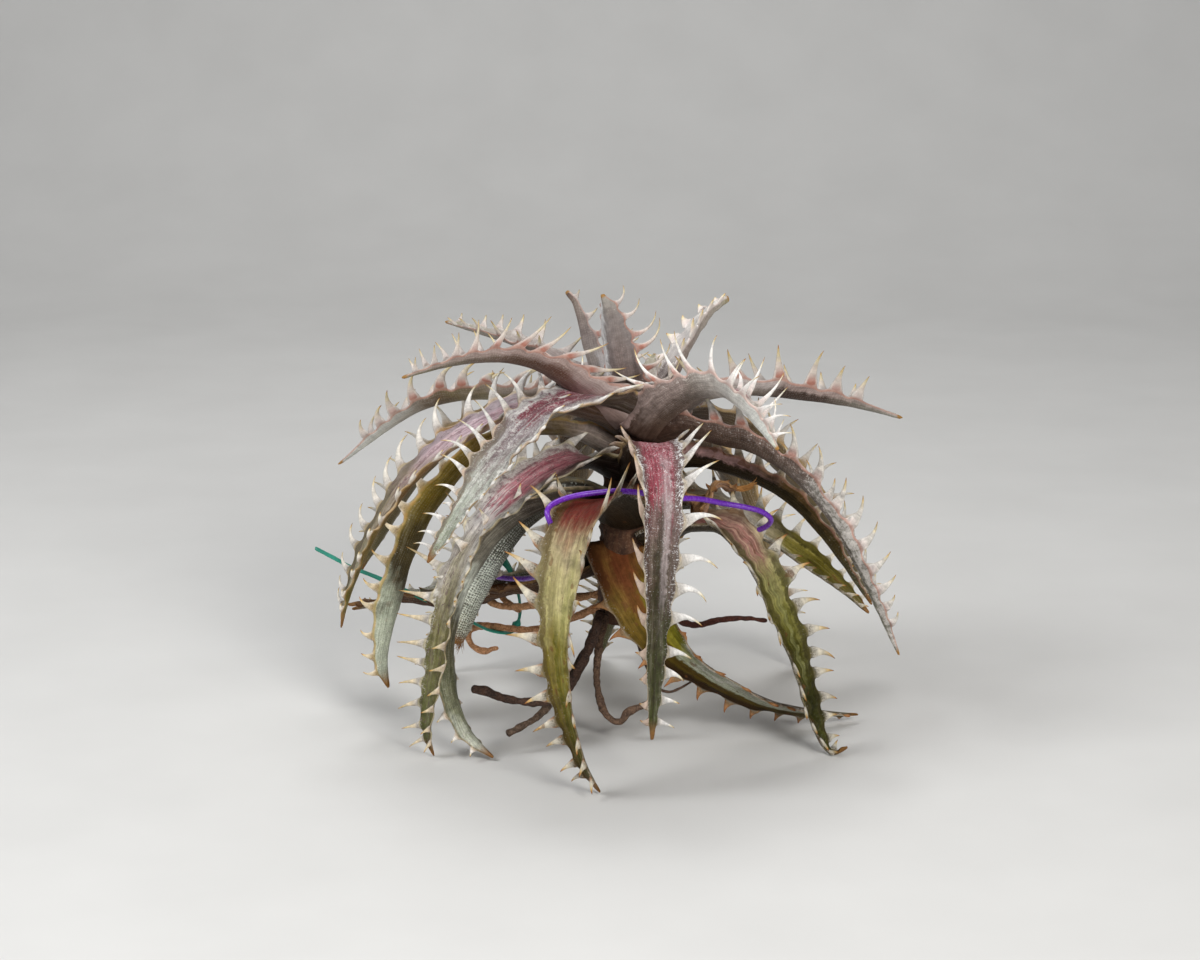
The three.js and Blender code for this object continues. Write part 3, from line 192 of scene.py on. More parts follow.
        (-29.6, 10.5, 64.5, 0, 0.38, 0.93, 7.4),
        (-35.9, 12, 63.4, -0.18, 0.36, 0.91, 6.8),
        (-42.3, 13.4, 60.9, -0.38, 0.34, 0.86, 5.8),
        (-47.9, 14.6, 57, -0.54, 0.27, 0.8, 4.4),
        (-53, 15.6, 53, -0.58, 0.22, 0.79, 2.8),
        (-57.7, 16.5, 49.3, -0.6, 0.12, 0.79, 0.5)]),
    "right_leaf_straight_back": dict(age="young", slot=None, spines=9, reach=6.2, back=35, rise=58, stations=[
        (3.8, 5, 61.3, -0.49, 0.4, 0.78, 9),
        (11.5, 8, 64.6, -0.38, 0.36, 0.85, 8.4),
        (19.4, 11, 65.8, -0.16, 0.38, 0.91, 7.6),
        (27.4, 14, 64.9, 0, 0.4, 0.92, 6.8),
        (35, 16.4, 63.4, 0.08, 0.41, 0.91, 5.6),
        (42, 18, 61.9, 0.14, 0.37, 0.92, 3.8),
        (48.3, 19.2, 60.2, 0.25, 0.29, 0.93, 2.2),
        (54.2, 20.2, 58, 0.31, 0.25, 0.92, 0.4)]),
    "right_leaf_under_arch": dict(age="old", slot=None, spines=12, reach=5.2, back=40, rise=55, stations=[
        (1.8, 3, 51.5, -0.04, 0.62, 0.79, 10),
        (11.4, 1, 53.5, 0.06, 0.58, 0.81, 9),
        (19, 0, 52.4, 0.29, 0.54, 0.79, 8.2),
        (25.9, -1.2, 49.7, 0.48, 0.49, 0.73, 7.6),
        (31.8, -2.4, 45.7, 0.63, 0.43, 0.64, 6.8),
        (36.6, -3.4, 40.6, 0.74, 0.36, 0.56, 5.8),
        (40.7, -4.2, 35.1, 0.81, 0.25, 0.53, 4.4),
        (43.8, -5, 30.5, 0.83, 0.13, 0.55, 2.6),
        (46.3, -5.6, 26.9, 0.82, 0.13, 0.55, 0.5)]),
    "right_leaf_low_back": dict(age="old", slot=None, spines=11, reach=5.4, back=40, rise=55, stations=[
        (3.5, 7, 42.1, -0.18, 0.15, 0.97, 10),
        (12.6, 6.5, 43.8, 0.08, -0.07, 0.99, 9.2),
        (21, 7, 40.7, 0.43, -0.35, 0.83, 8.4),
        (29, 7.8, 35.9, 0.52, -0.42, 0.74, 7.6),
        (36.2, 8.4, 30.8, 0.57, -0.42, 0.71, 6.6),
        (42.6, 8.8, 25.4, 0.63, -0.34, 0.7, 4),
        (47.2, 9, 21, 0.65, -0.34, 0.68, 0.5)]),
    "left_leaf_behind_arch": dict(age="old", slot=None, spines=13, reach=6.0, back=35, rise=38, stations=[
        (-2.4, 5, 54, 0.29, 0.55, 0.78, 10),
        (-11.6, 3, 58.8, 0.13, 0.45, 0.88, 9.5),
        (-22.2, 1, 59, -0.29, 0.4, 0.87, 9),
        (-30.4, -1, 54.4, -0.62, 0.46, 0.63, 8.4),
        (-37.3, -2.6, 46.9, -0.71, 0.56, 0.42, 8.2),
        (-41.7, -3.6, 38.7, -0.79, 0.52, 0.31, 8.2),
        (-44.7, -4, 30.4, -0.81, 0.53, 0.23, 8),
        (-46.6, -4, 22.4, -0.84, 0.51, 0.18, 6.8),
        (-47.7, -3.6, 15.2, -0.9, 0.44, 0.05, 4.4),
        (-46.9, -3, 9.4, -0.92, 0.39, -0.09, 0.5)]),
    "left_leaf_cut_short": dict(age="old", slot=None, spines=8, reach=3.6, back=25, rise=25, stations=[
        (-5.9, -2, 44.4, 0.04, 0.52, 0.86, 10),
        (-13.5, -5, 46.5, -0.27, 0.57, 0.77, 9),
        (-19.8, -7, 43.3, -0.56, 0.72, 0.41, 8),
        (-24.9, -8.5, 37.2, -0.57, 0.78, 0.25, 7.2),
        (-28.7, -9.5, 30.6, -0.56, 0.81, 0.2, 7.4),
        (-31.8, -10, 24, -0.54, 0.82, 0.21, 7.2),
        (-33.4, -10, 20.4, -0.53, 0.81, 0.23, 6)]),
    "left_leaf_hidden_front": dict(age="old", slot=None, spines=12, reach=4.4, back=25, rise=35, stations=[
        (-4.7, -6, 45.4, 0.12, 0.49, 0.86, 10),
        (-12.3, -10, 48.7, -0.15, 0.46, 0.88, 9),
        (-20.5, -13, 46.4, -0.54, 0.5, 0.68, 8),
        (-27.1, -15, 40.7, -0.68, 0.58, 0.44, 7.2),
        (-31.8, -15.6, 32.3, -0.78, 0.56, 0.27, 6.6),
        (-34.3, -16.6, 23.2, -0.83, 0.56, 0.02, 6.2),
        (-34.2, -18.4, 14.3, -0.79, 0.55, -0.27, 5.4),
        (-31.5, -20.2, 7.4, -0.7, 0.5, -0.51, 3.8),
        (-28.7, -21.2, 4.1, -0.59, 0.4, -0.7, 2.3),
        (-25.9, -21.8, 1.7, -0.61, 0.16, -0.77, 0.5)]),
    "back_leaf_upper_left": dict(age="young", slot=None, spines=8, reach=5.2, back=35, rise=50, stations=[
        (-2, 4, 60.1, 0.77, 0.32, 0.55, 9),
        (-8.6, 8, 67, 0.67, 0.05, 0.74, 8.4),
        (-15.2, 13, 71.5, 0.41, -0.05, 0.91, 7.2),
        (-21.6, 18, 73.3, 0.16, -0.07, 0.98, 6.2),
        (-26.8, 22.5, 74.1, 0.1, -0.04, 0.99, 5),
        (-31.8, 27, 74.7, 0.1, -0.03, 0.99, 2.8),
        (-36.8, 31, 75.4, 0.03, -0.13, 0.99, 0.5)]),
    "crown_leaf_centre_young": dict(age="young", slot=None, spines=5, reach=3.6, back=20, rise=45, stations=[
        (1.8, 1, 60.2, -0.48, -0.84, 0.25, 8),
        (2.3, 2, 64.7, -0.45, -0.84, 0.29, 7.4),
        (3.1, 3.2, 68.7, -0.43, -0.81, 0.4, 5.6),
        (3.9, 4.6, 71.6, -0.42, -0.72, 0.55, 3.2),
        (4.7, 6, 73.7, -0.41, -0.68, 0.61, 0.5)]),
    "crown_leaf_behind": dict(age="young", slot=None, spines=6, reach=4.2, back=20, rise=45, stations=[
        (0.3, 5, 58.9, 0.22, -0.85, 0.48, 8),
        (-0.5, 8, 64.6, 0.21, -0.9, 0.39, 6.6),
        (-1.2, 9.6, 70.4, 0.24, -0.93, 0.27, 5),
        (-2, 10.6, 75.1, 0.25, -0.94, 0.25, 3),
        (-2.6, 11.4, 78.5, 0.28, -0.92, 0.27, 0.5)]),
    "dry_leaf_right": dict(age="dead", slot=None, spines=5, reach=2.6, back=20, rise=30, stations=[
        (4.2, 1, 38, -0.29, 0.07, 0.96, 7),
        (8.7, -1, 39.6, -0.51, -0.01, 0.86, 6.4),
        (12.7, -3, 43.1, -0.78, -0.18, 0.6, 5.6),
        (15.3, -4, 47.2, -0.83, -0.39, 0.4, 4.6),
        (16.8, -4.5, 50.1, -0.56, -0.18, 0.81, 3.6),
        (19.1, -4.5, 49.7, -0.04, 0.04, 1, 2.6),
        (21.3, -4.4, 50.3, -0.24, 0.23, 0.94, 0.6)]),
    "low_leaf_back_left": dict(age="dead", slot=None, spines=9, reach=3.4, back=25, rise=35, stations=[
        (-4.9, 8, 32.2, -0.12, 0.47, 0.87, 9),
        (-14.8, 12, 28.6, -0.19, 0.27, 0.94, 8),
        (-24.8, 16, 25.9, -0.19, 0.17, 0.97, 7),
        (-35, 19, 23.4, -0.24, 0.05, 0.97, 6),
        (-43.2, 21, 21.1, -0.26, 0.05, 0.96, 4.5),
        (-50.4, 22.5, 19, -0.24, 0.04, 0.97, 2.6),
        (-56.1, 23, 17.8, -0.2, 0.04, 0.98, 0.5)]),
    "dry_leaf_left": dict(age="dead", slot=None, spines=8, reach=3.0, back=25, rise=30, stations=[
        (-5.9, 6, 30.7, -0.26, 0.32, 0.91, 8),
        (-15.7, 9, 26.8, -0.29, 0.13, 0.95, 7.4),
        (-24.7, 12, 24.1, -0.18, 0.23, 0.95, 6.6),
        (-32.8, 14.5, 22.1, -0.19, 0, 0.98, 6),
        (-40.9, 16.5, 20.9, -0.04, 0.22, 0.97, 5),
        (-48, 18, 20.7, -0.07, 0.07, 0.99, 4),
        (-53.7, 19, 19.8, -0.13, 0.04, 0.99, 2.6),
        (-57, 19.6, 19.4, -0.11, 0.06, 0.99, 0.6)]),
    "back_leaf_centre": dict(age="mid", slot=None, spines=13, reach=6.4, back=45, rise=45, stations=[
        (1.1, 6, 56.7, -0.19, -0.29, 0.94, 9),
        (2.3, 13, 59.2, -0.18, -0.08, 0.98, 9),
        (4.1, 23, 58.6, -0.08, 0.34, 0.94, 8.6),
        (5.7, 33, 52.3, -0.05, 0.7, 0.71, 8),
        (6.7, 39, 43, -0.02, 0.89, 0.46, 7.4),
        (6.8, 43.5, 32.3, 0, 0.94, 0.33, 6.8),
        (6.7, 46.5, 21.7, 0.01, 0.97, 0.24, 5.8),
        (6.6, 48, 14.3, 0.01, 0.99, 0.17, 4.6),
        (6.4, 49, 7.4, 0.01, 0.99, 0.11, 2.8),
        (6.3, 49.5, 1.3, 0.01, 1, 0.08, 0.5)]),
    "back_leaf_left_of_centre": dict(age="mid", slot=None, spines=12, reach=6.4, back=45, rise=45, stations=[
        (-1.6, 6, 55.5, 0.4, -0.12, 0.91, 9),
        (-5.1, 13, 58, 0.21, 0.03, 0.98, 9),
        (-7.9, 22, 56.4, -0.09, 0.44, 0.89, 8.6),
        (-10.5, 30.5, 48.7, -0.21, 0.73, 0.65, 8),
        (-12.2, 36, 39.5, -0.25, 0.87, 0.43, 7.4),
        (-13.1, 39.5, 29, -0.28, 0.92, 0.29, 6.6),
        (-13.8, 42, 18.6, -0.29, 0.92, 0.27, 5.6),
        (-14.3, 44, 12.4, -0.3, 0.93, 0.23, 4.2),
        (-14.3, 45, 6, -0.31, 0.95, 0.11, 2.6),
        (-14.1, 45.3, 1.2, -0.31, 0.95, 0.05, 0.5)]),
    "back_leaf_right": dict(age="mid", slot=None, spines=12, reach=6.2, back=45, rise=45, stations=[
        (3.4, 7, 50.5, -0.43, 0.08, 0.9, 9),
        (8.2, 13, 52.3, -0.25, 0.16, 0.95, 9),
        (14, 19, 51.4, 0.06, 0.41, 0.91, 8.4),
        (19.4, 24, 46.5, 0.31, 0.64, 0.7, 7.8),
        (23.3, 28, 38.9, 0.46, 0.73, 0.5, 7.2),
        (26.2, 31, 30.2, 0.51, 0.77, 0.39, 6.4),
        (28.7, 33, 22.2, 0.52, 0.78, 0.34, 5.6),
        (30.9, 34.5, 14.7, 0.52, 0.79, 0.31, 4.6),
        (33.2, 35.7, 7.7, 0.52, 0.81, 0.26, 3),
        (35.4, 36, 1.3, 0.52, 0.83, 0.22, 0.5)]),
    "back_leaf_left": dict(age="mid", slot=None, spines=12, reach=6.4, back=45, rise=45, stations=[
        (-2.4, 6, 48.8, 0.43, 0.13, 0.89, 9),
        (-7.8, 12, 50.6, 0.21, 0.25, 0.95, 9),
        (-14.2, 17.5, 48.5, -0.13, 0.5, 0.86, 8.6),
        (-20.3, 22, 42.9, -0.28, 0.66, 0.7, 8),
        (-25.5, 25.5, 36.4, -0.37, 0.72, 0.58, 7.4),
        (-29.9, 28.5, 28.7, -0.45, 0.77, 0.46, 6.8),
        (-33.3, 30.5, 20.3, -0.5, 0.79, 0.36, 5.8),
        (-36, 32, 12.4, -0.53, 0.79, 0.3, 4.6),
        (-37.5, 33, 6.5, -0.54, 0.8, 0.25, 2.8),
        (-38.9, 33.5, 1.4, -0.55, 0.81, 0.22, 0.5)]),
    "back_leaf_right_upper": dict(age="mid", slot=None, spines=11, reach=6.0, back=42, rise=48, stations=[
        (3.4, 8, 57.9, -0.37, 0.25, 0.9, 9),
        (11.8, 15, 59.3, -0.19, 0.39, 0.9, 8.8),
        (19.9, 20.5, 55.9, 0.17, 0.54, 0.83, 8.2),
        (27.6, 24.5, 49.9, 0.34, 0.63, 0.7, 7.6),
        (34.3, 27.5, 42.8, 0.43, 0.67, 0.61, 7),
        (39.9, 29.5, 35.8, 0.52, 0.66, 0.54, 6),
        (44.2, 31, 29.1, 0.6, 0.65, 0.46, 4.6),
        (47.5, 32, 22.5, 0.64, 0.67, 0.38, 2.8),
        (50.1, 32.4, 16.6, 0.66, 0.67, 0.34, 0.5)]),
    "back_leaf_left_upper": dict(age="mid", slot=None, spines=11, reach=6.0, back=42, rise=48, stations=[
        (-3.2, 9, 57.6, 0.46, 0.22, 0.86, 9),
        (-11.8, 16, 60.5, 0.35, 0.34, 0.87, 8.8),
        (-20.8, 21.5, 60, 0.02, 0.46, 0.89, 8.2),
        (-29.3, 25.5, 56, -0.22, 0.59, 0.78, 7.4),
        (-37, 28.5, 50, -0.37, 0.65, 0.66, 6.6),
        (-43.5, 31, 42.6, -0.51, 0.66, 0.55, 5.6),
        (-48.4, 32.5, 34.6, -0.59, 0.66, 0.47, 4.2),
        (-52.3, 33.5, 27.8, -0.61, 0.67, 0.43, 2.4),
        (-55.3, 34, 22.3, -0.62, 0.68, 0.4, 0.5)]),
    "low_leaf_back_centre": dict(age="old", slot=None, spines=9, reach=4.4, back=30, rise=38, stations=[
        (-1.2, 8, 29.3, 0.01, 0.37, 0.93, 8.6),
        (-1.9, 18, 25.3, -0.08, 0.45, 0.89, 8),
        (-3, 28, 18.9, -0.18, 0.58, 0.8, 7.2),
        (-4.2, 36, 11.7, -0.16, 0.68, 0.72, 5.8),
        (-5.3, 41, 6.1, -0.17, 0.76, 0.62, 3.6),
        (-5.9, 44, 1.4, -0.19, 0.81, 0.55, 0.5)]),
}
ROOTS = {
    "root_dark_upper": [(-5.9, -3, 24.7, 1), (-7.4, -6, 20, 1), (-10.1, -10, 14.8, 0.95), (-13.3, -14, 11.5, 0.9), (-16.3, -17, 11.1, 0.9), (-19.5, -18.5, 11.6, 0.85), (-22.5, -19.5, 12.3, 0.85), (-25.1, -20, 13.2, 0.8), (-27.3, -20.3, 14.3, 0.85), (-29.7, -20.5, 14.8, 0.9)],
    "root_dark_lower": [(-6.7, -1, 20.9, 0.9), (-9.7, -5, 15.3, 0.9), (-13.2, -10, 11.2, 0.85), (-16.2, -14, 8.9, 0.8), (-17.7, -16, 7.8, 0.8), (-19.5, -17.5, 7.1, 0.75), (-21.4, -18.5, 6.4, 0.75), (-23.3, -19, 5.4, 0.7)],
    "root_below_stem": [(-4.3, -2, 25.6, 0.9), (-5.5, -3, 21.1, 0.85), (-6.3, -5, 16.7, 0.8), (-6.5, -7, 12.3, 0.8), (-5.7, -9, 8.1, 0.75), (-4, -10.5, 5.7, 0.7), (-2, -11.5, 5.3, 0.75), (-0.5, -12, 7.4, 0.8), (1.8, -12.3, 8.6, 0.65), (4.4, -12.5, 9.4, 0.5), (6.7, -12.5, 9.6, 0.35)],
    "root_hair_right": [(-0.5, -1, 26.2, 0.35), (1.9, -3, 17.1, 0.35), (4.9, -6, 11.1, 0.3), (7.2, -8, 10.2, 0.3), (9.5, -8.5, 11.1, 0.28), (11.8, -8.5, 12.5, 0.22)],
    "root_behind_right": [(2, 6, 24.6, 0.7), (7, 12, 20.4, 0.7), (12.6, 17, 16.2, 0.65), (18.4, 21, 16.1, 0.6), (23.6, 24, 15.6, 0.55), (28, 26, 14.4, 0.45)],
    "root_tan_outer": [(-5.5, 4, 26.4, 0.8), (-13.8, 10, 23.4, 0.8), (-20.8, 14, 21, 0.8), (-25.9, 17, 20.2, 0.75), (-28.8, 19, 21.7, 0.75), (-28.4, 20.5, 24.6, 0.7), (-26.6, 21.5, 23.1, 0.7), (-25.2, 21, 20.3, 0.65), (-22, 19, 18.6, 0.6)],
    "root_tan_inner": [(-5.9, 5, 23.6, 0.8), (-13.4, 12, 18.3, 0.8), (-19.9, 17, 15.2, 0.75), (-26.1, 21, 14.6, 0.75), (-30.7, 24, 13.9, 0.7), (-32.8, 25.5, 11.8, 0.7), (-32, 26, 9.3, 0.65), (-29.6, 25, 8.3, 0.6), (-26.8, 23, 9.6, 0.5)],
}
WIRE = [
    (-29.1, 1, 31.6), (-25.7, -2, 31.5), (-22.5, -5.5, 32.1), (-19.2, -10, 33.5), (-16.2, -16, 36.3), (-14.2, -22, 40.3), (-13.6, -27, 44.5), (-14, -31, 48.1), (-15, -33.6, 50.7), (-15.4, -33.2, 52.3), (-14.6, -31.6, 53.2), (-12.4, -29.6, 53.8), (-9.5, -28.2, 54.2), (-6.2, -27.2, 54.4), (-2.8, -26.4, 54.5), (0.7, -25.8, 54.1), (4.4, -24.6, 53.3), (8.5, -22.4, 52.2), (12.6, -20, 51.4), (16.8, -18, 50.1), (21.1, -17, 49.1), (24.3, -16.2, 48), (26.1, -14.4, 46.1), (25.4, -12, 44.1), (23.1, -9, 42.2), (21.1, -5, 40),
]
TIES = {
    "green_tie": [(-62.2, 12, 33.5, 0.49, 0.01, 0.87), (-58.7, 12.5, 31.5, 0.52, 0.01, 0.85), (-55, 13, 29.2, 0.46, 0, 0.89), (-50.2, 13.6, 27.1, 0.43, 0, 0.9), (-44.7, 14.5, 24.2, 0.5, 0.05, 0.87), (-39.5, 16, 20.9, 0.47, 0.19, 0.86), (-33.6, 18, 17.4, 0.44, 0.21, 0.87), (-27.7, 20.5, 13.9, 0.3, 0.12, 0.94), (-23.7, 22, 13.7, -0.41, -0.4, 0.82), (-22.1, 22, 17.5, 0.99, 0.1, -0.1), (-22.6, 20.5, 22.9, 0.98, -0.14, 0.15), (-24.3, 18, 28.2, 0.89, -0.4, 0.22), (-27.3, 15, 32.3, 0.67, -0.74, -0.04)],
}
STEM_PROFILE = [(22, 5.2), (24, 6.2), (30, 6.6), (36, 6.2), (44, 6.0), (51, 5.4), (56, 4.2), (58.5, 2.4)]
STEM_CENTRE = (0.0, 1.0)

FIRST_SPINE, LAST_SPINE, CROWDING = 0.13, 0.97, 1.15
CHANNEL = 0.36


# ------------------------------------------------------------------ small maths
def smooth(a, b, x):
    t = np.clip((x - a) / (b - a), 0.0, 1.0)
    return t * t * (3 - 2 * t)


def mix(a, b, t):
    return a + (b - a) * t


def unit(v):
    v = np.asarray(v, float)
    return v / (np.linalg.norm(v, axis=-1, keepdims=True) + 1e-12)


def spline(rows, q):
    rows = np.asarray(rows, float)
    n = len(rows) - 1
    i = int(min(n - 1, max(0, math.floor(q))))
    t = q - i
    p1, p2 = rows[i], rows[i + 1]
    p0 = rows[i - 1] if i > 0 else 2 * p1 - p2
    p3 = rows[i + 2] if i + 2 <= n else 2 * p2 - p1
    return 0.5 * (2 * p1 + (p2 - p0) * t + (2 * p0 - 5 * p1 + 4 * p2 - p3) * t * t
                  + (3 * p1 - p0 - 3 * p2 + p3) * t * t * t)


class Curve:
    """Frames at equal shares of length along rows of stations."""

    def __init__(self, rows, n=480):
        qs = np.linspace(0, len(rows) - 1, n)
        raw = np.array([spline(rows, q) for q in qs])
        seg = np.linalg.norm(np.diff(raw[:, :3], axis=0), axis=1)
        s = np.concatenate([[0], np.cumsum(seg)])
        self.length = s[-1]
        us = np.linspace(0, 1, n)
        self.us = us
        self.data = np.stack([np.interp(us * s[-1], s, raw[:, k]) for k in range(raw.shape[1])], 1)
        P = self.data[:, :3]
        self.T = unit(np.gradient(P, axis=0))
        if raw.shape[1] >= 6:
            N = self.data[:, 3:6]
            N = N - self.T * (N * self.T).sum(1, keepdims=True)
            self.N = unit(N)
        else:
            N = np.zeros_like(P)
            up = np.array([0, 0, 1.0])
            v = up - self.T[0] * (up @ self.T[0])
            if np.linalg.norm(v) < 1e-3:
                v = np.array([1.0, 0, 0]) - self.T[0] * self.T[0][0]
            for k in range(n):
                v = v - self.T[k] * (v @ self.T[k])
                v = v / np.linalg.norm(v)
                N[k] = v
            self.N = N
        self.B = unit(np.cross(self.T, self.N))

    def at(self, u):
        """P, T, N, B and the other columns at a share u (which may run past the ends)."""
        u = float(u)
        c = min(1.0, max(0.0, u))
        g = lambda A: np.array([np.interp(c, self.us, A[:, k]) for k in range(A.shape[1])])
        P, T, N = g(self.data[:, :3]), unit(g(self.T)), g(self.N)
        N = unit(N - T * (N @ T))
        P = P + T * (u - c) * self.length
        return P, T, N, np.cross(T, N), g(self.data[:, 3:])


# ------------------------------------------------------------------ objects
def new_object(name, verts_mm, faces, attrs=None, smooth_shade=True, subdiv=0):
    me = bpy.data.meshes.new(name)
    V = (np.asarray(verts_mm, float) + SHIFT) * MM
    me.from_pydata([tuple(v) for v in V], [], faces)
    me.validate()
    for key, vals in (attrs or {}).items():
        vals = np.asarray(vals, float)
        if vals.ndim == 1:
            a = me.attributes.new(key, "FLOAT", "POINT")
            a.data.foreach_set("value", vals.astype(np.float32))
        else:
            a = me.attributes.new(key, "FLOAT_VECTOR", "POINT")
            a.data.foreach_set("vector", vals.astype(np.float32).ravel())
    bm = bmesh.new()
    bm.from_mesh(me)
    bmesh.ops.recalc_face_normals(bm, faces=bm.faces)
    bm.to_mesh(me)
    bm.free()
    ob = bpy.data.objects.new(name, me)
    bpy.context.collection.objects.link(ob)
    if subdiv:
        m = ob.modifiers.new("round", "SUBSURF")
        m.levels = m.render_levels = subdiv
        m.boundary_smooth = "PRESERVE_CORNERS"
        dg = bpy.context.evaluated_depsgraph_get()
        fine = bpy.data.meshes.new_from_object(ob.evaluated_get(dg), preserve_all_data_layers=True, depsgraph=dg)
        ob.modifiers.clear()
        ob.data = fine
        fine.name = name
        bpy.data.meshes.remove(me)
    if smooth_shade:
        ob.data.polygons.foreach_set("use_smooth", [True] * len(ob.data.polygons))
    ob.data.update()
    return ob


def finish_piece(ob, node, material):
    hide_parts(node)
    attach(ob, "root")
    ob.data.materials.clear()
    ob.data.materials.append(material)


# ------------------------------------------------------------------ lattice noise
def _hash(ix, iy, seed):
    h = (ix * 374761393 + iy * 668265263 + seed * 974634777) & 0xFFFFFFFF
    h = ((h ^ (h >> 13)) * 1274126177) & 0xFFFFFFFF
    return ((h ^ (h >> 16)) & 0xFFFF) / 32767.5 - 1.0


def vnoise(x, y, seed=0):
    """Smooth value noise in -1..1 on arrays."""
    x, y = np.asarray(x, float), np.asarray(y, float)
    ix, iy = np.floor(x).astype(np.int64), np.floor(y).astype(np.int64)
    fx, fy = x - ix, y - iy
    fx, fy = fx * fx * (3 - 2 * fx), fy * fy * (3 - 2 * fy)
    a, b = _hash(ix, iy, seed), _hash(ix + 1, iy, seed)
    c, d = _hash(ix, iy + 1, seed), _hash(ix + 1, iy + 1, seed)
    return (a * (1 - fx) + b * fx) * (1 - fy) + (c * (1 - fx) + d * fx) * fy


def fnoise(x, y, seed=0, octaves=3):
    t, amp, k = 0.0, 1.0, 1.0
    for o in range(octaves):
        t = t + amp * vnoise(np.asarray(x) * k, np.asarray(y) * k, seed + 17 * o)
        amp *= 0.55
        k *= 2.03
    return t / 1.9


def read_points(me):
    co = np.empty(len(me.vertices) * 3, np.float32)
    me.vertices.foreach_get("co", co)
    return co.reshape(-1, 3).astype(float)


def write_points(me, co):
    me.vertices.foreach_set("co", co.astype(np.float32).ravel())
    me.update()


def read_normals(me):
    no = np.empty(len(me.vertices) * 3, np.float32)
    me.vertex_normals.foreach_get("vector", no)
    return no.reshape(-1, 3).astype(float)


def read_attr(me, name):
    a = me.attributes[name]
    if a.data_type == "FLOAT":
        out = np.empty(len(me.vertices), np.float32)
        a.data.foreach_get("value", out)
        return out.astype(float)
    out = np.empty(len(me.vertices) * 3, np.float32)
    a.data.foreach_get("vector", out)
    return out.reshape(-1, 3).astype(float)


# ------------------------------------------------------------------ leaf mesh
TOP_V = [-1, -0.87, -0.66, -0.34, 0, 0.34, 0.66, 0.87, 1]
BOT_V = [1, 0.82, 0.46, 0, -0.46, -0.82, -1]
NT, NB = len(TOP_V), len(BOT_V)
NS = NT + NB
RINGS = [0.09, 0.21, 0.36, 0.53, 0.70, 0.86, 1.0]


def curve_of(value, side, u):
    """A number, a list of (u, number), or a pair of those for the two margins."""
    if isinstance(value, tuple):
        value = value[side]
    if np.isscalar(value):
        return float(value)
    return float(np.interp(u, [q[0] for q in value], [q[1] for q in value]))


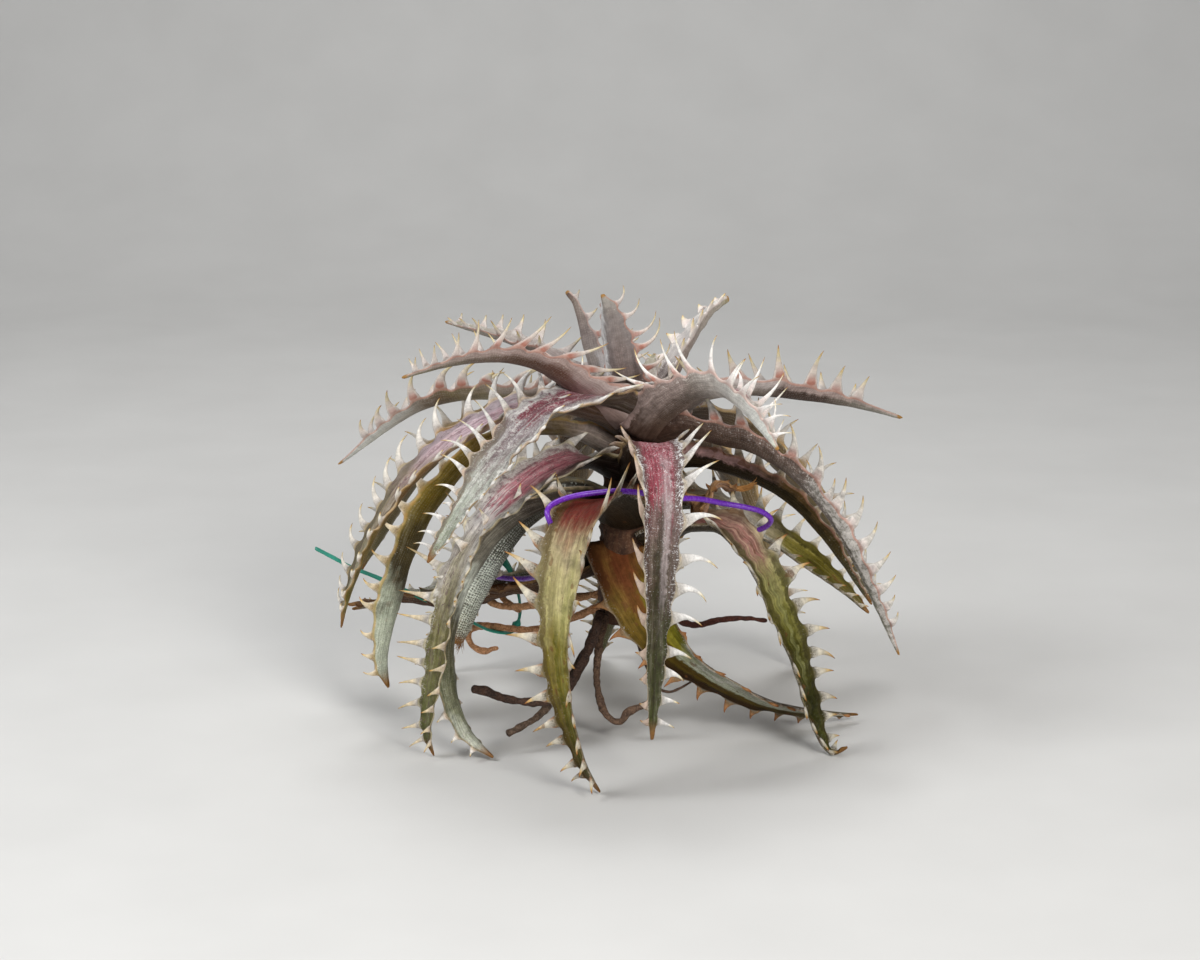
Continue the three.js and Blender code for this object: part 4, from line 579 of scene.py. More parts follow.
def leaf_mesh(name, leaf):
    rng = np.random.RandomState(leaf["seed"])
    cv = Curve(leaf["stations"])
    n = leaf["spines"]
    first, last = leaf.get("first", FIRST_SPINE), leaf.get("last", LAST_SPINE)
    edges = [first + (last - first) * (1 - (1 - j / n) ** CROWDING) for j in range(n + 1)]
    us, where = [0.0, first * 0.35, first * 0.7], [None, None, None]
    for j in range(n):
        a, b = edges[j], edges[j + 1]
        for k in range(4):
            us.append(a + (b - a) * k / 4)
            where.append((j, k))
    us += [edges[-1], mix(edges[-1], 1, 0.5), 1.0]
    where += [None, None, None]
    twist = leaf.get("twist", 0.0)
    thick = leaf.get("thick", 1.0)
    wave = leaf.get("wave", 0.05)
    back = leaf["back"]
    lean_p = leaf.get("lean", [(0.13, back), (0.3, back * 0.8), (0.5, back * 0.4), (0.68, 0), (0.97, -8)])
    hook_p = leaf.get("hook", [(0.15, 0), (0.5, 25), (1, 30)])
    rise_p = leaf.get("rise_at", leaf["rise"])
    size_p = leaf.get("size", 1.0)
    jit = leaf.get("jitter", 8)
    ph = rng.uniform(0, 6.28, 8)
    shift = rng.uniform(-0.17, 0.17, (n, 2))       # the spines don't stand in exact pairs
    V, U, W, H, S, G, E = [], [], [], [], [], [], []

    def place(u):
        """The curve's frame, turned about the leaf's run, and the blade's width."""
        P, T, N, B, ex = cv.at(u)
        a = math.radians(curve_of(twist, 0, u))
        N, B = N * math.cos(a) + B * math.sin(a), B * math.cos(a) - N * math.sin(a)
        return P, T, N, B, max(0.35, ex[3]) * curve_of(leaf.get("wide", 1.0), 0, u)

    def section(u, v, top, du=0.0):
        P, T, N, B, w = place(u + du)
        h = w / 2
        t0 = (0.5 + 0.15 * w) * thick
        m = min(0.30 + 0.02 * w, 0.46)
        a = abs(v)
        half = 0.5 * mix(t0, m, a ** 2.2)
        chan = curve_of(leaf.get("channel", CHANNEL), 0, u)
        y = chan * h * a ** 2.1
        s = 1 if v > 0 else 0
        amp = wave * w * a ** 3
        y += amp * math.sin(u * cv.length * 0.42 + ph[s] + 1.3 * math.sin(u * 9 + ph[2 + s]))
        crimp = leaf.get("crimp", (0.0, 0.0))[s]
        if crimp:
            y += crimp * a ** 5 * min(1.0, w / 4) * math.sin(u * cv.length * 1.32 + ph[6 + s] + 1.6 * math.sin(u * 14 + ph[s]))
        sideways = 0.6 * amp * math.cos(u * cv.length * 0.31 + ph[4 + s]) * (1 if v > 0 else -1)
        if top:
            # shallow lengthwise ridges of the upper face
            y += half + leaf.get("ridge", 0.06) * math.cos(v * 8.5 + ph[5]) * (1 - a ** 2) * min(1, w / 4)
        else:
            y -= half * (1 + leaf.get("keel", 0.0) * (1 - a))
        return P + B * (v * h + sideways) + N * y, T, N, B, h

    for i, u in enumerate(us):
        j_k = where[i]
        for idx in range(NS):
            top = idx < NT
            v = TOP_V[idx] if top else BOT_V[idx - NT]
            du, out, along = 0.0, 0.0, 0.0
            if j_k and abs(v) > 0.8:
                j, k = j_k
                s = 1 if v > 0 else 0
                per = edges[j + 1] - edges[j]
                rim = 1.0 if abs(v) > 0.95 else 0.42
                if k:
                    du = shift[j, s] * per * rim
                # the margin is cut in arcs between the spines and drawn out under them
                out = {0: -0.30, 1: 0.16, 2: 0.62, 3: 0.16}[k] * rim
                out *= leaf["reach"] / 7.0 * curve_of(size_p, s, u) * mix(1, 0.55, smooth(0.5, 1, u))
                lean = math.radians(curve_of(lean_p, s, u))
                along = -out * math.tan(max(-0.9, min(0.9, lean))) if k == 2 else 0.0
            p, T, N, B, h = section(u, v, top, du)
            if out:
                r = math.radians(curve_of(rise_p, 1 if v > 0 else 0, u)) * 0.8
                f = min(1.0, h / 1.5)
                p = p + ((B * math.copysign(1, v) * math.cos(r) + N * math.sin(r)) * out + T * along * 0.7) * f
            V.append(p); U.append(u); W.append(v); H.append(0.0); S.append(1.0 if top else 0.0)
            E.append(1.0 if abs(v) > 0.95 else 0.0)
            G.append((u * cv.length, v * h, 0.0 if top else 0.9))
    F = []
    for i in range(len(us) - 1):
        o = i * NS
        j_k = where[i]
        for idx in range(NS):
            a, b = o + idx, o + (idx + 1) % NS
            side = idx == NT - 1 or idx == NS - 1
            if side and j_k and j_k[1] in (1, 2):
                continue
            F.append((a, b, b + NS, a + NS))

    def cap(o):
        top = [o + k for k in range(NT)]
        bot = [o + NT + k for k in range(NB)][::-1]
        i, j = 0, 0
        while i < NT - 1 or j < NB - 1:
            ti = TOP_V[i + 1] if i < NT - 1 else 9
            bj = BOT_V[::-1][j + 1] if j < NB - 1 else 9
            if abs(ti - bj) < 0.13 and i < NT - 1 and j < NB - 1:
                F.append((top[i], top[i + 1], bot[j + 1], bot[j])); i += 1; j += 1
            elif ti < bj:
                F.append((top[i], top[i + 1], bot[j])); i += 1
            else:
                F.append((top[i], bot[j + 1], bot[j])); j += 1
    cap(0)
    cap((len(us) - 1) * NS)

    index = {jk: i for i, jk in enumerate(where) if jk}
    skip = leaf.get("skip", ())
    for j in range(n):
        per = edges[j + 1] - edges[j]
        for s in (0, 1):
            sg = 1 if s else -1
            rows = [index[(j, 1)], index[(j, 2)], index[(j, 3)]]
            if s:
                ta = [r * NS + NT - 1 for r in rows]
                tb = [r * NS + NT for r in rows]
            else:
                ta = [r * NS for r in rows]
                tb = [r * NS + NS - 1 for r in rows]
            loop = [ta[0], ta[1], ta[2], tb[2], tb[1], tb[0]]
            uc = us[rows[1]] + shift[j, s] * per
            P, T, N, B, w_here = place(uc)
            root = (V[ta[1]] + V[tb[1]] + V[ta[0]] * 0.5 + V[ta[2]] * 0.5 + V[tb[0]] * 0.5 + V[tb[2]] * 0.5) / 4
            lean0 = math.radians(curve_of(lean_p, s, uc) + rng.uniform(-jit, jit))
            hook = math.radians(curve_of(hook_p, s, uc) + rng.uniform(-2.0, 2.0) * jit)
            rise0 = math.radians(curve_of(rise_p, s, uc) + rng.uniform(-jit, jit) * 0.8)
            curl = math.radians(rng.uniform(-8, 16))
            L = leaf["reach"] * mix(1, 0.45, smooth(0.5, 1, uc)) * mix(0.85, 1, smooth(0, 0.25, uc)) * rng.uniform(0.84, 1.05)
            L *= curve_of(size_p, s, uc)
            if (j, s) in skip or rng.rand() < leaf.get("broken", 0.03):
                L *= 0.4
            hw0 = min(1.35, 0.25 * per * cv.length) * leaf.get("stout", 1.0)
            pos = root.copy()
            prev = 0.0
            old = loop
            for q, hh in enumerate(RINGS):
                mid = (hh + prev) / 2
                lean = lean0 - hook * mid ** 1.15
                rise = rise0 - curl * mid
                d = unit(B * sg * math.cos(rise) * math.cos(lean) - T * math.sin(lean) + N * math.sin(rise) * math.cos(lean))
                pos = pos + d * L * (hh - prev)
                prev = hh
                e = T - d * (T @ d)
                e = unit(e) if np.linalg.norm(e) > 0.12 else unit(np.cross(d, N))
                f = np.cross(e, d)
                want = N * math.cos(rise) - B * sg * math.sin(rise)
                if f @ want < 0:
                    f = -f
                if e @ T < 0:
                    e = -e
                hw = hw0 * (0.6 * max(0, 1 - hh) ** 3.2 + 0.4 * max(0, 1 - hh) ** 0.8) + 0.03
                ht = 0.37 * max(0, 1 - hh) ** 0.55 + 0.03
                ht = min(ht, hw * 1.0 + 0.02)
                ring = [pos - e * hw + f * ht * 0.5, pos + f * ht * 1.1, pos + e * hw + f * ht * 0.5,
                        pos + e * hw - f * ht * 0.5, pos - f * ht * 1.1, pos - e * hw - f * ht * 0.5]
                new = []
                for c, p in enumerate(ring):
                    V.append(p); U.append(uc); W.append(sg * (1 + hh)); H.append(hh); S.append(1.0 if c < 3 else 0.0)
                    E.append(0.0 if c in (1, 4) else 1.0)
                    G.append((uc * cv.length + ((0, 1, 2, 2, 1, 0)[c] - 1) * hw, sg * (w_here / 2 + hh * L), 0.0 if c < 3 else 0.9))
                    new.append(len(V) - 1)
                for c in range(6):
                    F.append((old[c], old[(c + 1) % 6], new[(c + 1) % 6], new[c]))
                old = new
            F.append((old[0], old[1], old[4], old[5]))
            F.append((old[1], old[2], old[3], old[4]))

    # loose fibres at a torn end
    for q in range(leaf.get("fibres", 0)):
        P, T, N, B, w_here = place(0.985)
        h = w_here / 2
        v = rng.uniform(-0.95, 0.95)
        base = P + B * v * h + N * (curve_of(leaf.get("channel", CHANNEL), 0, 1.0) * h * abs(v) ** 2.1 + rng.uniform(-0.3, 0.3))
        d = unit(T + B * rng.uniform(-0.5, 0.5) + N * rng.uniform(-0.5, 0.5))
        bend = unit(rng.uniform(-1, 1, 3)) * rng.uniform(0.2, 0.9)
        Lf = rng.uniform(1.0, 3.4)
        r0 = rng.uniform(0.1, 0.24)
        old = None
        for t in (-0.3, 0.0, 0.35, 0.7, 1.0):
            c0 = base + d * Lf * t + bend * max(0, t) ** 2 * Lf * 0.5
            r = r0 * (1 - 0.8 * max(0, t))
            e1 = unit(np.cross(d, N)); e2 = np.cross(d, e1)
            new = []
            for a in (0, 1, 2, 3):
                V.append(c0 + (e1 * math.cos(a * 1.5708) + e2 * math.sin(a * 1.5708)) * r)
                U.append(1.0); W.append(v); H.append(0.0); S.append(0.0); E.append(0.0)
                G.append((cv.length + t * Lf, v * h + a * 0.1, 0.9))
                new.append(len(V) - 1)
            if old is None:
                F.append(tuple(new[::-1]))
            else:
                for a in range(4):
                    F.append((old[a], old[(a + 1) % 4], new[(a + 1) % 4], new[a]))
            old = new
        F.append(tuple(old))

    attrs = {"leaf_u": U, "leaf_v": W, "spine_h": H, "upper": S, "rim": E, "leaf_mm": G}
    ob = new_object(name, V, F, attrs, subdiv=1)

    # wrinkles and unevenness of the living surface
    me = ob.data
    co, no = read_points(me), read_normals(me)
    mm, hh, top = read_attr(me, "leaf_mm"), read_attr(me, "spine_h"), read_attr(me, "upper")
    u = read_attr(me, "leaf_u")
    calm = (1 - smooth(0.0, 0.12, hh)) * smooth(0.0, 0.05, u) * (1 - smooth(0.985, 1.0, u) * 0.5)
    k = leaf["seed"]
    x, y = mm[:, 0], mm[:, 1]
    wr = fnoise(x * 0.22 + 0.35 * fnoise(x * 0.4, y * 0.4, k + 5), y * 0.95, k, 3)
    crease = 1 - np.abs(fnoise(x * 0.16, y * 0.8, k + 40, 2)) * 4
    crease = np.clip(crease, 0, 1)
    amp_top, amp_back = leaf.get("wrinkle", 0.12), leaf.get("wrinkle_back", 0.035 if leaf["age"] == "young" else 0.06)
    amp = mix(amp_back, amp_top, top)
    lump = fnoise(x * 0.35, y * 0.35, k + 90, 2) * leaf.get("lump", 0.08)
    rib = leaf.get("rib", 0.0)
    if rib:
        across = 1 - np.clip(np.abs(read_attr(me, "leaf_v")), 0, 1) ** 2
        lump = lump + rib * np.sin(x * 1.75 + 2.2 * fnoise(x * 0.25, y * 0.25, k + 60, 2)) * across * top
    d = amp * (wr - 0.7 * crease * leaf.get("crease", 1.0)) + lump
    crumple = leaf.get("crumple", 0.0)
    co = co + no * (d * calm * MM)[:, None]
    if crumple:
        q = np.stack([fnoise(x * 0.23, y * 0.3, k + 200 + c, 3) for c in range(3)], 1)
        co = co + q * (crumple * MM) * smooth(0.02, 0.2, u)[:, None]
    write_points(me, co)
    return ob, cv


# ------------------------------------------------------------------ material helpers
class Nodes:
    """Short names for building a material's node tree."""

    def __init__(self, name):
        self.mat = bpy.data.materials.new(name)
        self.mat.use_nodes = True
        self.t = self.mat.node_tree
        self.t.nodes.clear()
        self.out = self.t.nodes.new("ShaderNodeOutputMaterial")
        self.bsdf = self.t.nodes.new("ShaderNodeBsdfPrincipled")
        self.t.links.new(self.bsdf.outputs["BSDF"], self.out.inputs["Surface"])

    def link(self, a, b):
        self.t.links.new(a, b)

    def put(self, socket, value):
        if hasattr(value, "links"):
            self.link(value, socket)
        else:
            socket.default_value = value

    def attr(self, name, kind="Fac"):
        n = self.t.nodes.new("ShaderNodeAttribute")
        n.attribute_name = name
        return n.outputs[kind]

    def math(self, op, a, b=0.0, c=None, clamp=False):
        n = self.t.nodes.new("ShaderNodeMath")
        n.operation = op
        n.use_clamp = clamp
        self.put(n.inputs[0], a)
        self.put(n.inputs[1], b)
        if c is not None:
            self.put(n.inputs[2], c)
        return n.outputs[0]

    def step(self, lo, hi, x):
        """0 below lo, 1 above hi, smooth between; lo may be above hi."""
        n = self.t.nodes.new("ShaderNodeMapRange")
        n.interpolation_type = "SMOOTHSTEP"
        self.put(n.inputs["Value"], x)
        if lo < hi:
            n.inputs["From Min"].default_value = lo
            n.inputs["From Max"].default_value = hi
        else:
            n.inputs["From Min"].default_value = hi
            n.inputs["From Max"].default_value = lo
            n.inputs["To Min"].default_value = 1.0
            n.inputs["To Max"].default_value = 0.0
        return n.outputs["Result"]

    def along(self, u, value):
        """A number, or one that changes along the leaf: a list of (u, number)."""
        if not isinstance(value, list):
            return value
        return self.ramp(u, [(q, (c, c, c)) for q, c in value])

    def span(self, x, lo, hi, to_lo, to_hi):
        n = self.t.nodes.new("ShaderNodeMapRange")
        self.put(n.inputs["Value"], x)
        for key, val in (("From Min", lo), ("From Max", hi), ("To Min", to_lo), ("To Max", to_hi)):
            n.inputs[key].default_value = val
        return n.outputs["Result"]

    def ramp(self, x, stops, interp="LINEAR"):
        n = self.t.nodes.new("ShaderNodeValToRGB")
        n.color_ramp.interpolation = interp
        while len(n.color_ramp.elements) < len(stops):
            n.color_ramp.elements.new(0.5)
        for el, (p, c) in zip(n.color_ramp.elements, stops):
            el.position = p
            el.color = (*c, 1.0)
        self.put(n.inputs["Fac"], x)
        return n.outputs["Color"]

    def mix(self, f, a, b, mode="MIX"):
        n = self.t.nodes.new("ShaderNodeMix")
        n.data_type = "RGBA"
        n.blend_type = mode
        n.clamp_factor = True
        self.put(n.inputs["Factor"], f)
        for sock, val in ((n.inputs[6], a), (n.inputs[7], b)):
            if hasattr(val, "links"):
                self.link(val, sock)
            else:
                sock.default_value = (*val, 1.0) if len(val) == 3 else val
        return n.outputs[2]

    def scale(self, vec, by):
        n = self.t.nodes.new("ShaderNodeVectorMath")
        n.operation = "MULTIPLY"
        self.put(n.inputs[0], vec)
        n.inputs[1].default_value = by
        return n.outputs["Vector"]

    def noise(self, vec, scale=1.0, detail=3.0, rough=0.5, distort=0.0):
        n = self.t.nodes.new("ShaderNodeTexNoise")
        self.put(n.inputs["Vector"], vec)
        n.inputs["Scale"].default_value = scale
        n.inputs["Detail"].default_value = detail
        n.inputs["Roughness"].default_value = rough
        n.inputs["Distortion"].default_value = distort
        return n.outputs["Fac"]

    def voronoi(self, vec, scale=1.0, feature="F1"):
        n = self.t.nodes.new("ShaderNodeTexVoronoi")
        n.feature = feature
        self.put(n.inputs["Vector"], vec)
        n.inputs["Scale"].default_value = scale
        return n.outputs["Distance"]

    def bump(self, height, strength, distance):
        n = self.t.nodes.new("ShaderNodeBump")
        n.inputs["Strength"].default_value = strength
        n.inputs["Distance"].default_value = distance
        self.put(n.inputs["Height"], height)
        self.link(n.outputs["Normal"], self.bsdf.inputs["Normal"])

    def finish(self, colour, rough, specular=0.4):
        self.put(self.bsdf.inputs["Base Color"], colour)
        self.put(self.bsdf.inputs["Roughness"], rough)
        self.bsdf.inputs["Specular IOR Level"].default_value = specular
        return self.mat


# ------------------------------------------------------------------ leaf material
def leaf_material(name, look):
    g = Nodes(name)
    u, v, h, top = g.attr("leaf_u"), g.attr("leaf_v"), g.attr("spine_h"), g.attr("upper")
    rim = g.attr("rim")
    seed = look.get("seed", 0)
    off = g.t.nodes.new("ShaderNodeVectorMath")
    off.operation = "ADD"
    g.put(off.inputs[0], g.attr("leaf_mm", "Vector"))
    off.inputs[1].default_value = (seed * 13.7, seed * 5.3, seed * 3.1)
    mm = off.outputs["Vector"]
    av = g.math("ABSOLUTE", v)
    back = g.math("SUBTRACT", 1.0, top)

    streak = g.noise(g.scale(mm, (0.13, 1.5, 1.0)), 1.0, 4.0, 0.62, 0.25)   # broad lengthwise streaks
    fine = g.noise(g.scale(mm, (0.35, 5.5, 1.0)), 1.0, 3.0, 0.6)            # fine striation
    cloud = g.noise(g.scale(mm, (0.16, 0.3, 1.0)), 1.0, 3.0, 0.55)          # large soft patches
    blot = g.noise(mm, 0.85, 4.0, 0.65, 0.4)
    grain = g.noise(mm, 3.1, 3.0, 0.75)                                       # scale by scale speckle
    grit = g.noise(mm, 6.5, 2.0, 0.6)

    wob = g.math("ADD", u, g.span(cloud, 0.25, 0.75, -0.07, 0.07))
    upper = g.ramp(wob, look["upper"])
    lower = g.ramp(wob, look["lower"])

    # red where the leaf bends over
    p = look.get("patch")
    if p:
        lo = g.math("ADD", u, g.span(streak, 0.3, 0.7, -p.get("ragged", 0.05), p.get("ragged", 0.05)))
        m = g.math("MULTIPLY", g.step(p["from"] - p["soft"], p["from"], lo), g.step(p["to"] + p["soft"], p["to"], lo))
        off_v = g.math("ABSOLUTE", g.math("SUBTRACT", v, p.get("centre", 0.0)))
        wide = p.get("wide", 0.78)
        m = g.math("MULTIPLY", m, g.step(wide + 0.2, wide - 0.25, g.math("ADD", off_v, g.span(blot, 0.3, 0.7, -0.16, 0.16))))
        m = g.math("MULTIPLY", m, g.span(blot, 0.25, 0.6, 0.6, 1.0))
        red = g.mix(g.span(streak, 0.35, 0.7, 0.0, 0.7), p["colour"], p.get("light", (0.52, 0.17, 0.22)))
        upper = g.mix(g.math("MULTIPLY", m, p.get("strength", 0.95)), upper, red)

    base = g.mix(top, lower, upper)
    paler = g.mix(0.55, g.mix(1.0, base, (1.8, 1.8, 1.8), "MULTIPLY"), look["pale"])
    base = g.mix(g.math("MULTIPLY", g.math("MULTIPLY", g.span(streak, 0.47, 0.66, 0.0, 1.0), g.along(u, look.get("streaks", 0.35))), g.span(top, 0.0, 1.0, 0.5, 1.0)), base, paler)
    base = g.mix(g.span(fine, 0.56, 0.36, 0.0, look.get("fine", 0.35)), base, look["dark"])
    # lengthwise bands of a given colour: most are the leaf's own bands, a few are painted highlight and painted shade
    # along one side
    more = 0.0
    for st in look.get("stripes", ()):
        wv_ = g.math("ADD", v, g.span(blot, 0.3, 0.7, -0.12, 0.12))
        f = g.math("ABSOLUTE", g.math("SUBTRACT", wv_, st["at"]))
        soft = st.get("soft", 0.4)
        f = g.step(st["wide"] * (1 + soft), st["wide"] * (1 - soft), f)
        f = g.math("MULTIPLY", f, g.math("MULTIPLY", g.step(st["from"] - 0.06, st["from"] + 0.04, wob), g.step(st["to"] + 0.06, st["to"] - 0.04, wob)))
        f = g.math("MULTIPLY", f, back if st.get("below") else top)
        if "colour" in st:
            base = g.mix(g.math("MULTIPLY", f, g.math("MULTIPLY", g.span(streak, 0.35, 0.6, 0.65, 1.0), st.get("strength", 0.8))), base, st["colour"])
        if "scurf" in st:
            more = g.math("ADD", more, g.math("MULTIPLY", f, st["scurf"]))
    # painted shade: thin dark lines along the leaf stand in for the shade in the creases of the skin
    fold = g.math("ABSOLUTE", g.math("SUBTRACT", g.noise(g.scale(mm, (0.16, 0.95, 1.0)), 1.0, 2.0, 0.5, 0.5), 0.5))
    base = g.mix(g.math("MULTIPLY", g.step(0.022, 0.004, fold), g.math("MULTIPLY", top, look.get("fold_shade", 0.3))), base, look["dark"])

    # the underside's scales stand in fine rows
    sep = g.t.nodes.new("ShaderNodeSeparateXYZ")
    g.put(sep.inputs[0], mm)
    warp = g.span(blot, 0.2, 0.8, -0.5, 0.5)
    rows = g.math("SINE", g.math("MULTIPLY", g.math("ADD", sep.outputs["Y"], g.math("MULTIPLY", warp, 0.3)), 2 * math.pi / look.get("row_mm", 0.45)))
    dots = g.math("SINE", g.math("MULTIPLY", g.math("ADD", sep.outputs["X"], warp), 2 * math.pi / 0.5))
    weave = g.math("ADD", g.math("MULTIPLY", rows, 0.6), g.math("MULTIPLY", dots, look.get("dots", 0.25)))
    weave = g.math("ADD", weave, g.span(grit, 0.3, 0.7, -0.5, 0.5))
    woven = g.math("MULTIPLY", g.math("MULTIPLY", back, g.step(0.04, 0.32, u)), g.along(u, look.get("weave", 0.3)))
    wv = g.math("MULTIPLY", g.step(0.1, -0.9, weave), woven)
    base = g.mix(wv, base, look["dark"])
    wl = g.math("MULTIPLY", g.step(0.2, 1.0, weave), woven)
    base = g.mix(wl, base, look.get("scurf_colour", SCURF))

    # silvery scales: loose over the face, thick beside the margins
    near = g.step(look.get("near", 0.5), 0.98, av)
    dens = g.math("ADD", g.math("MULTIPLY", g.math("MULTIPLY", back, g.step(0.06, 0.34, u)), g.along(u, look.get("scurf_back", 0.25))), g.math("MULTIPLY", top, g.along(u, look["scurf"])))
    dens = g.math("ADD", dens, g.math("MULTIPLY", near, g.span(top, 0.0, 1.0, look.get("scurf_edge_back", look.get("scurf_edge", 0.45) * 0.6), look.get("scurf_edge", 0.45))))
    dens = g.math("ADD", dens, more)
    dens = g.math("MULTIPLY", dens, g.span(blot, 0.32, 0.62, 0.35, 1.25))
    dens = g.math("MULTIPLY", dens, g.span(streak, 0.35, 0.65, 0.8, 1.2), clamp=True)
    thr = g.span(dens, 0.0, 1.0, 0.72, 0.36)
    sc = g.math("MULTIPLY_ADD", g.math("SUBTRACT", grain, thr), 9.0, 0.5, clamp=True)
    sc = g.math("MULTIPLY", sc, g.step(0.0, 0.12, dens))
    base = g.mix(g.math("MULTIPLY", sc, look.get("scurf_strength", 0.85)), base, look.get("scurf_colour", SCURF))
    pits = g.math("MULTIPLY", g.step(0.47, 0.36, grit), g.math("MULTIPLY", g.step(0.15, 0.6, dens), look.get("pits", 0.5)))
    base = g.mix(pits, base, look["dark"])

    # margin line
    line = g.step(look.get("line_from", 0.9), 0.995, av)
    edge_c = g.mix(top, look["edge_back"], look["edge"])
    edge_c = g.mix(g.span(blot, 0.45, 0.65, 0.0, 0.6), edge_c, look.get("edge_alt", OCHRE))
    base = g.mix(g.math("MULTIPLY", line, look.get("line", 0.8)), base, edge_c)

    # spines: scurfy at the foot, then cream, ochre, and a brown point
    hh = g.math("ADD", h, g.span(blot, 0.3, 0.7, -0.1, 0.1))
    under = look["spine_back"]
    if "salmon_to" in look:
        under = g.mix(g.step(look["salmon_to"] - 0.15, look["salmon_to"] + 0.1, u), under, look["spine_foot"])
    foot = g.mix(top, under, look["spine_foot"])
    foot = g.mix(g.math("MULTIPLY", g.step(0.52, 0.42, grain), look.get("foot_pits", 0.45)), foot, look["dark"])
    foot = g.mix(g.math("MULTIPLY", g.step(0.55, 0.95, rim), look.get("outline", 0.5)), foot, look.get("outline_colour", WHITE))
    spine = g.ramp(hh, look["spine"])
    if look.get("warm"):
        spine = g.mix(g.math("MULTIPLY", g.step(0.3, 0.65, u), look["warm"]), spine, (1.0, 0.86, 0.58), "MULTIPLY")
    sp = g.mix(g.step(0.05, look.get("foot_to", 0.42), h), foot, spine)
    if "left_tint" in look:                        # the spines of one margin are rustier
        tint, amount = look["left_tint"]
        sp = g.mix(g.math("MULTIPLY", g.step(-0.1, 0.1, v), amount), sp, tint, "MULTIPLY")
    base = g.mix(g.step(-0.01, 0.1, h), base, sp)

    # the leaf's own dry point
    tip = g.math("MULTIPLY", g.step(look.get("tip_from", 0.94), 0.99, u), g.step(0.1, 0.0, h))
    base = g.mix(tip, base, look.get("tip", (0.3, 0.14, 0.04)))

    bl = look.get("blemish", 0.0)
    if bl:
        mark = g.step(0.68, 0.73, g.noise(g.scale(mm, (0.42, 0.6, 1.0)), 1.0, 1.0, 0.4))
        base = g.mix(g.math("MULTIPLY", mark, bl), base, (0.17, 0.07, 0.025))

    m = look.get("mottle", 0.22)
    uneven = g.math("ADD", g.math("MULTIPLY", blot, 0.6), g.math("MULTIPLY", streak, 0.4))
    base = g.mix(1.0, base, g.span(uneven, 0.36, 0.64, 1.0 - m, 1.0 + 0.6 * m), "MULTIPLY")
    k = 0.76 * look.get("tone", 1.0)
    base = g.mix(1.0, base, (k, k, k), "MULTIPLY")
    is_spine = g.step(0.02, 0.3, h)
    rough = g.span(g.math("ADD", sc, g.math("MULTIPLY", grain, 0.4)), 0.0, 1.2, look.get("rough", 0.42), look.get("rough", 0.42) + 0.25)
    height = g.math("ADD", g.math("MULTIPLY", streak, 1.6), g.math("MULTIPLY", fine, 0.8))
    height = g.math("ADD", height, g.math("MULTIPLY", sc, 0.45))
    height = g.math("ADD", height, g.math("MULTIPLY", grain, 0.5))
    height = g.math("ADD", height, g.math("MULTIPLY", g.math("MULTIPLY", weave, woven), 0.6))
    height = g.math("MULTIPLY", height, g.math("SUBTRACT", 1.0, g.math("MULTIPLY", is_spine, 0.7)))
    g.bump(height, 0.8 * look.get("relief", 1.0), 0.00018)
    return g.finish(base, rough, look.get("specular", 0.22))


SCURF = (0.60, 0.57, 0.52)
WHITE = (0.80, 0.76, 0.70)
CREAM = (0.74, 0.64, 0.46)
OCHRE = (0.58, 0.38, 0.12)
RUST = (0.34, 0.12, 0.03)
DARK = (0.08, 0.03, 0.015)
SALMON = (0.50, 0.19, 0.14)
CRIMSON = (0.30, 0.014, 0.045)

SPINE_BRIGHT = [(0.0, (0.94, 0.92, 0.89)), (0.62, (0.94, 0.91, 0.86)), (0.8, (0.86, 0.76, 0.52)), (0.93, (0.64, 0.42, 0.15)), (1.0, RUST)]
SPINE_WHITE = [(0.0, WHITE), (0.58, (0.80, 0.75, 0.68)), (0.78, (0.76, 0.64, 0.40)), (0.92, (0.62, 0.38, 0.12)), (1.0, RUST)]
SPINE_YOUNG = [(0.0, WHITE), (0.45, (0.78, 0.68, 0.60)), (0.72, (0.76, 0.66, 0.42)), (0.92, (0.62, 0.42, 0.16)), (1.0, RUST)]
SPINE_OLD = [(0.0, WHITE), (0.5, (0.74, 0.67, 0.52)), (0.74, (0.66, 0.46, 0.2)), (0.9, (0.46, 0.2, 0.06)), (1.0, DARK)]
SPINE_SALMON = [(0.0, (0.72, 0.55, 0.50)), (0.4, (0.72, 0.50, 0.42)), (0.7, (0.76, 0.62, 0.40)), (0.92, (0.62, 0.40, 0.14)), (1.0, RUST)]
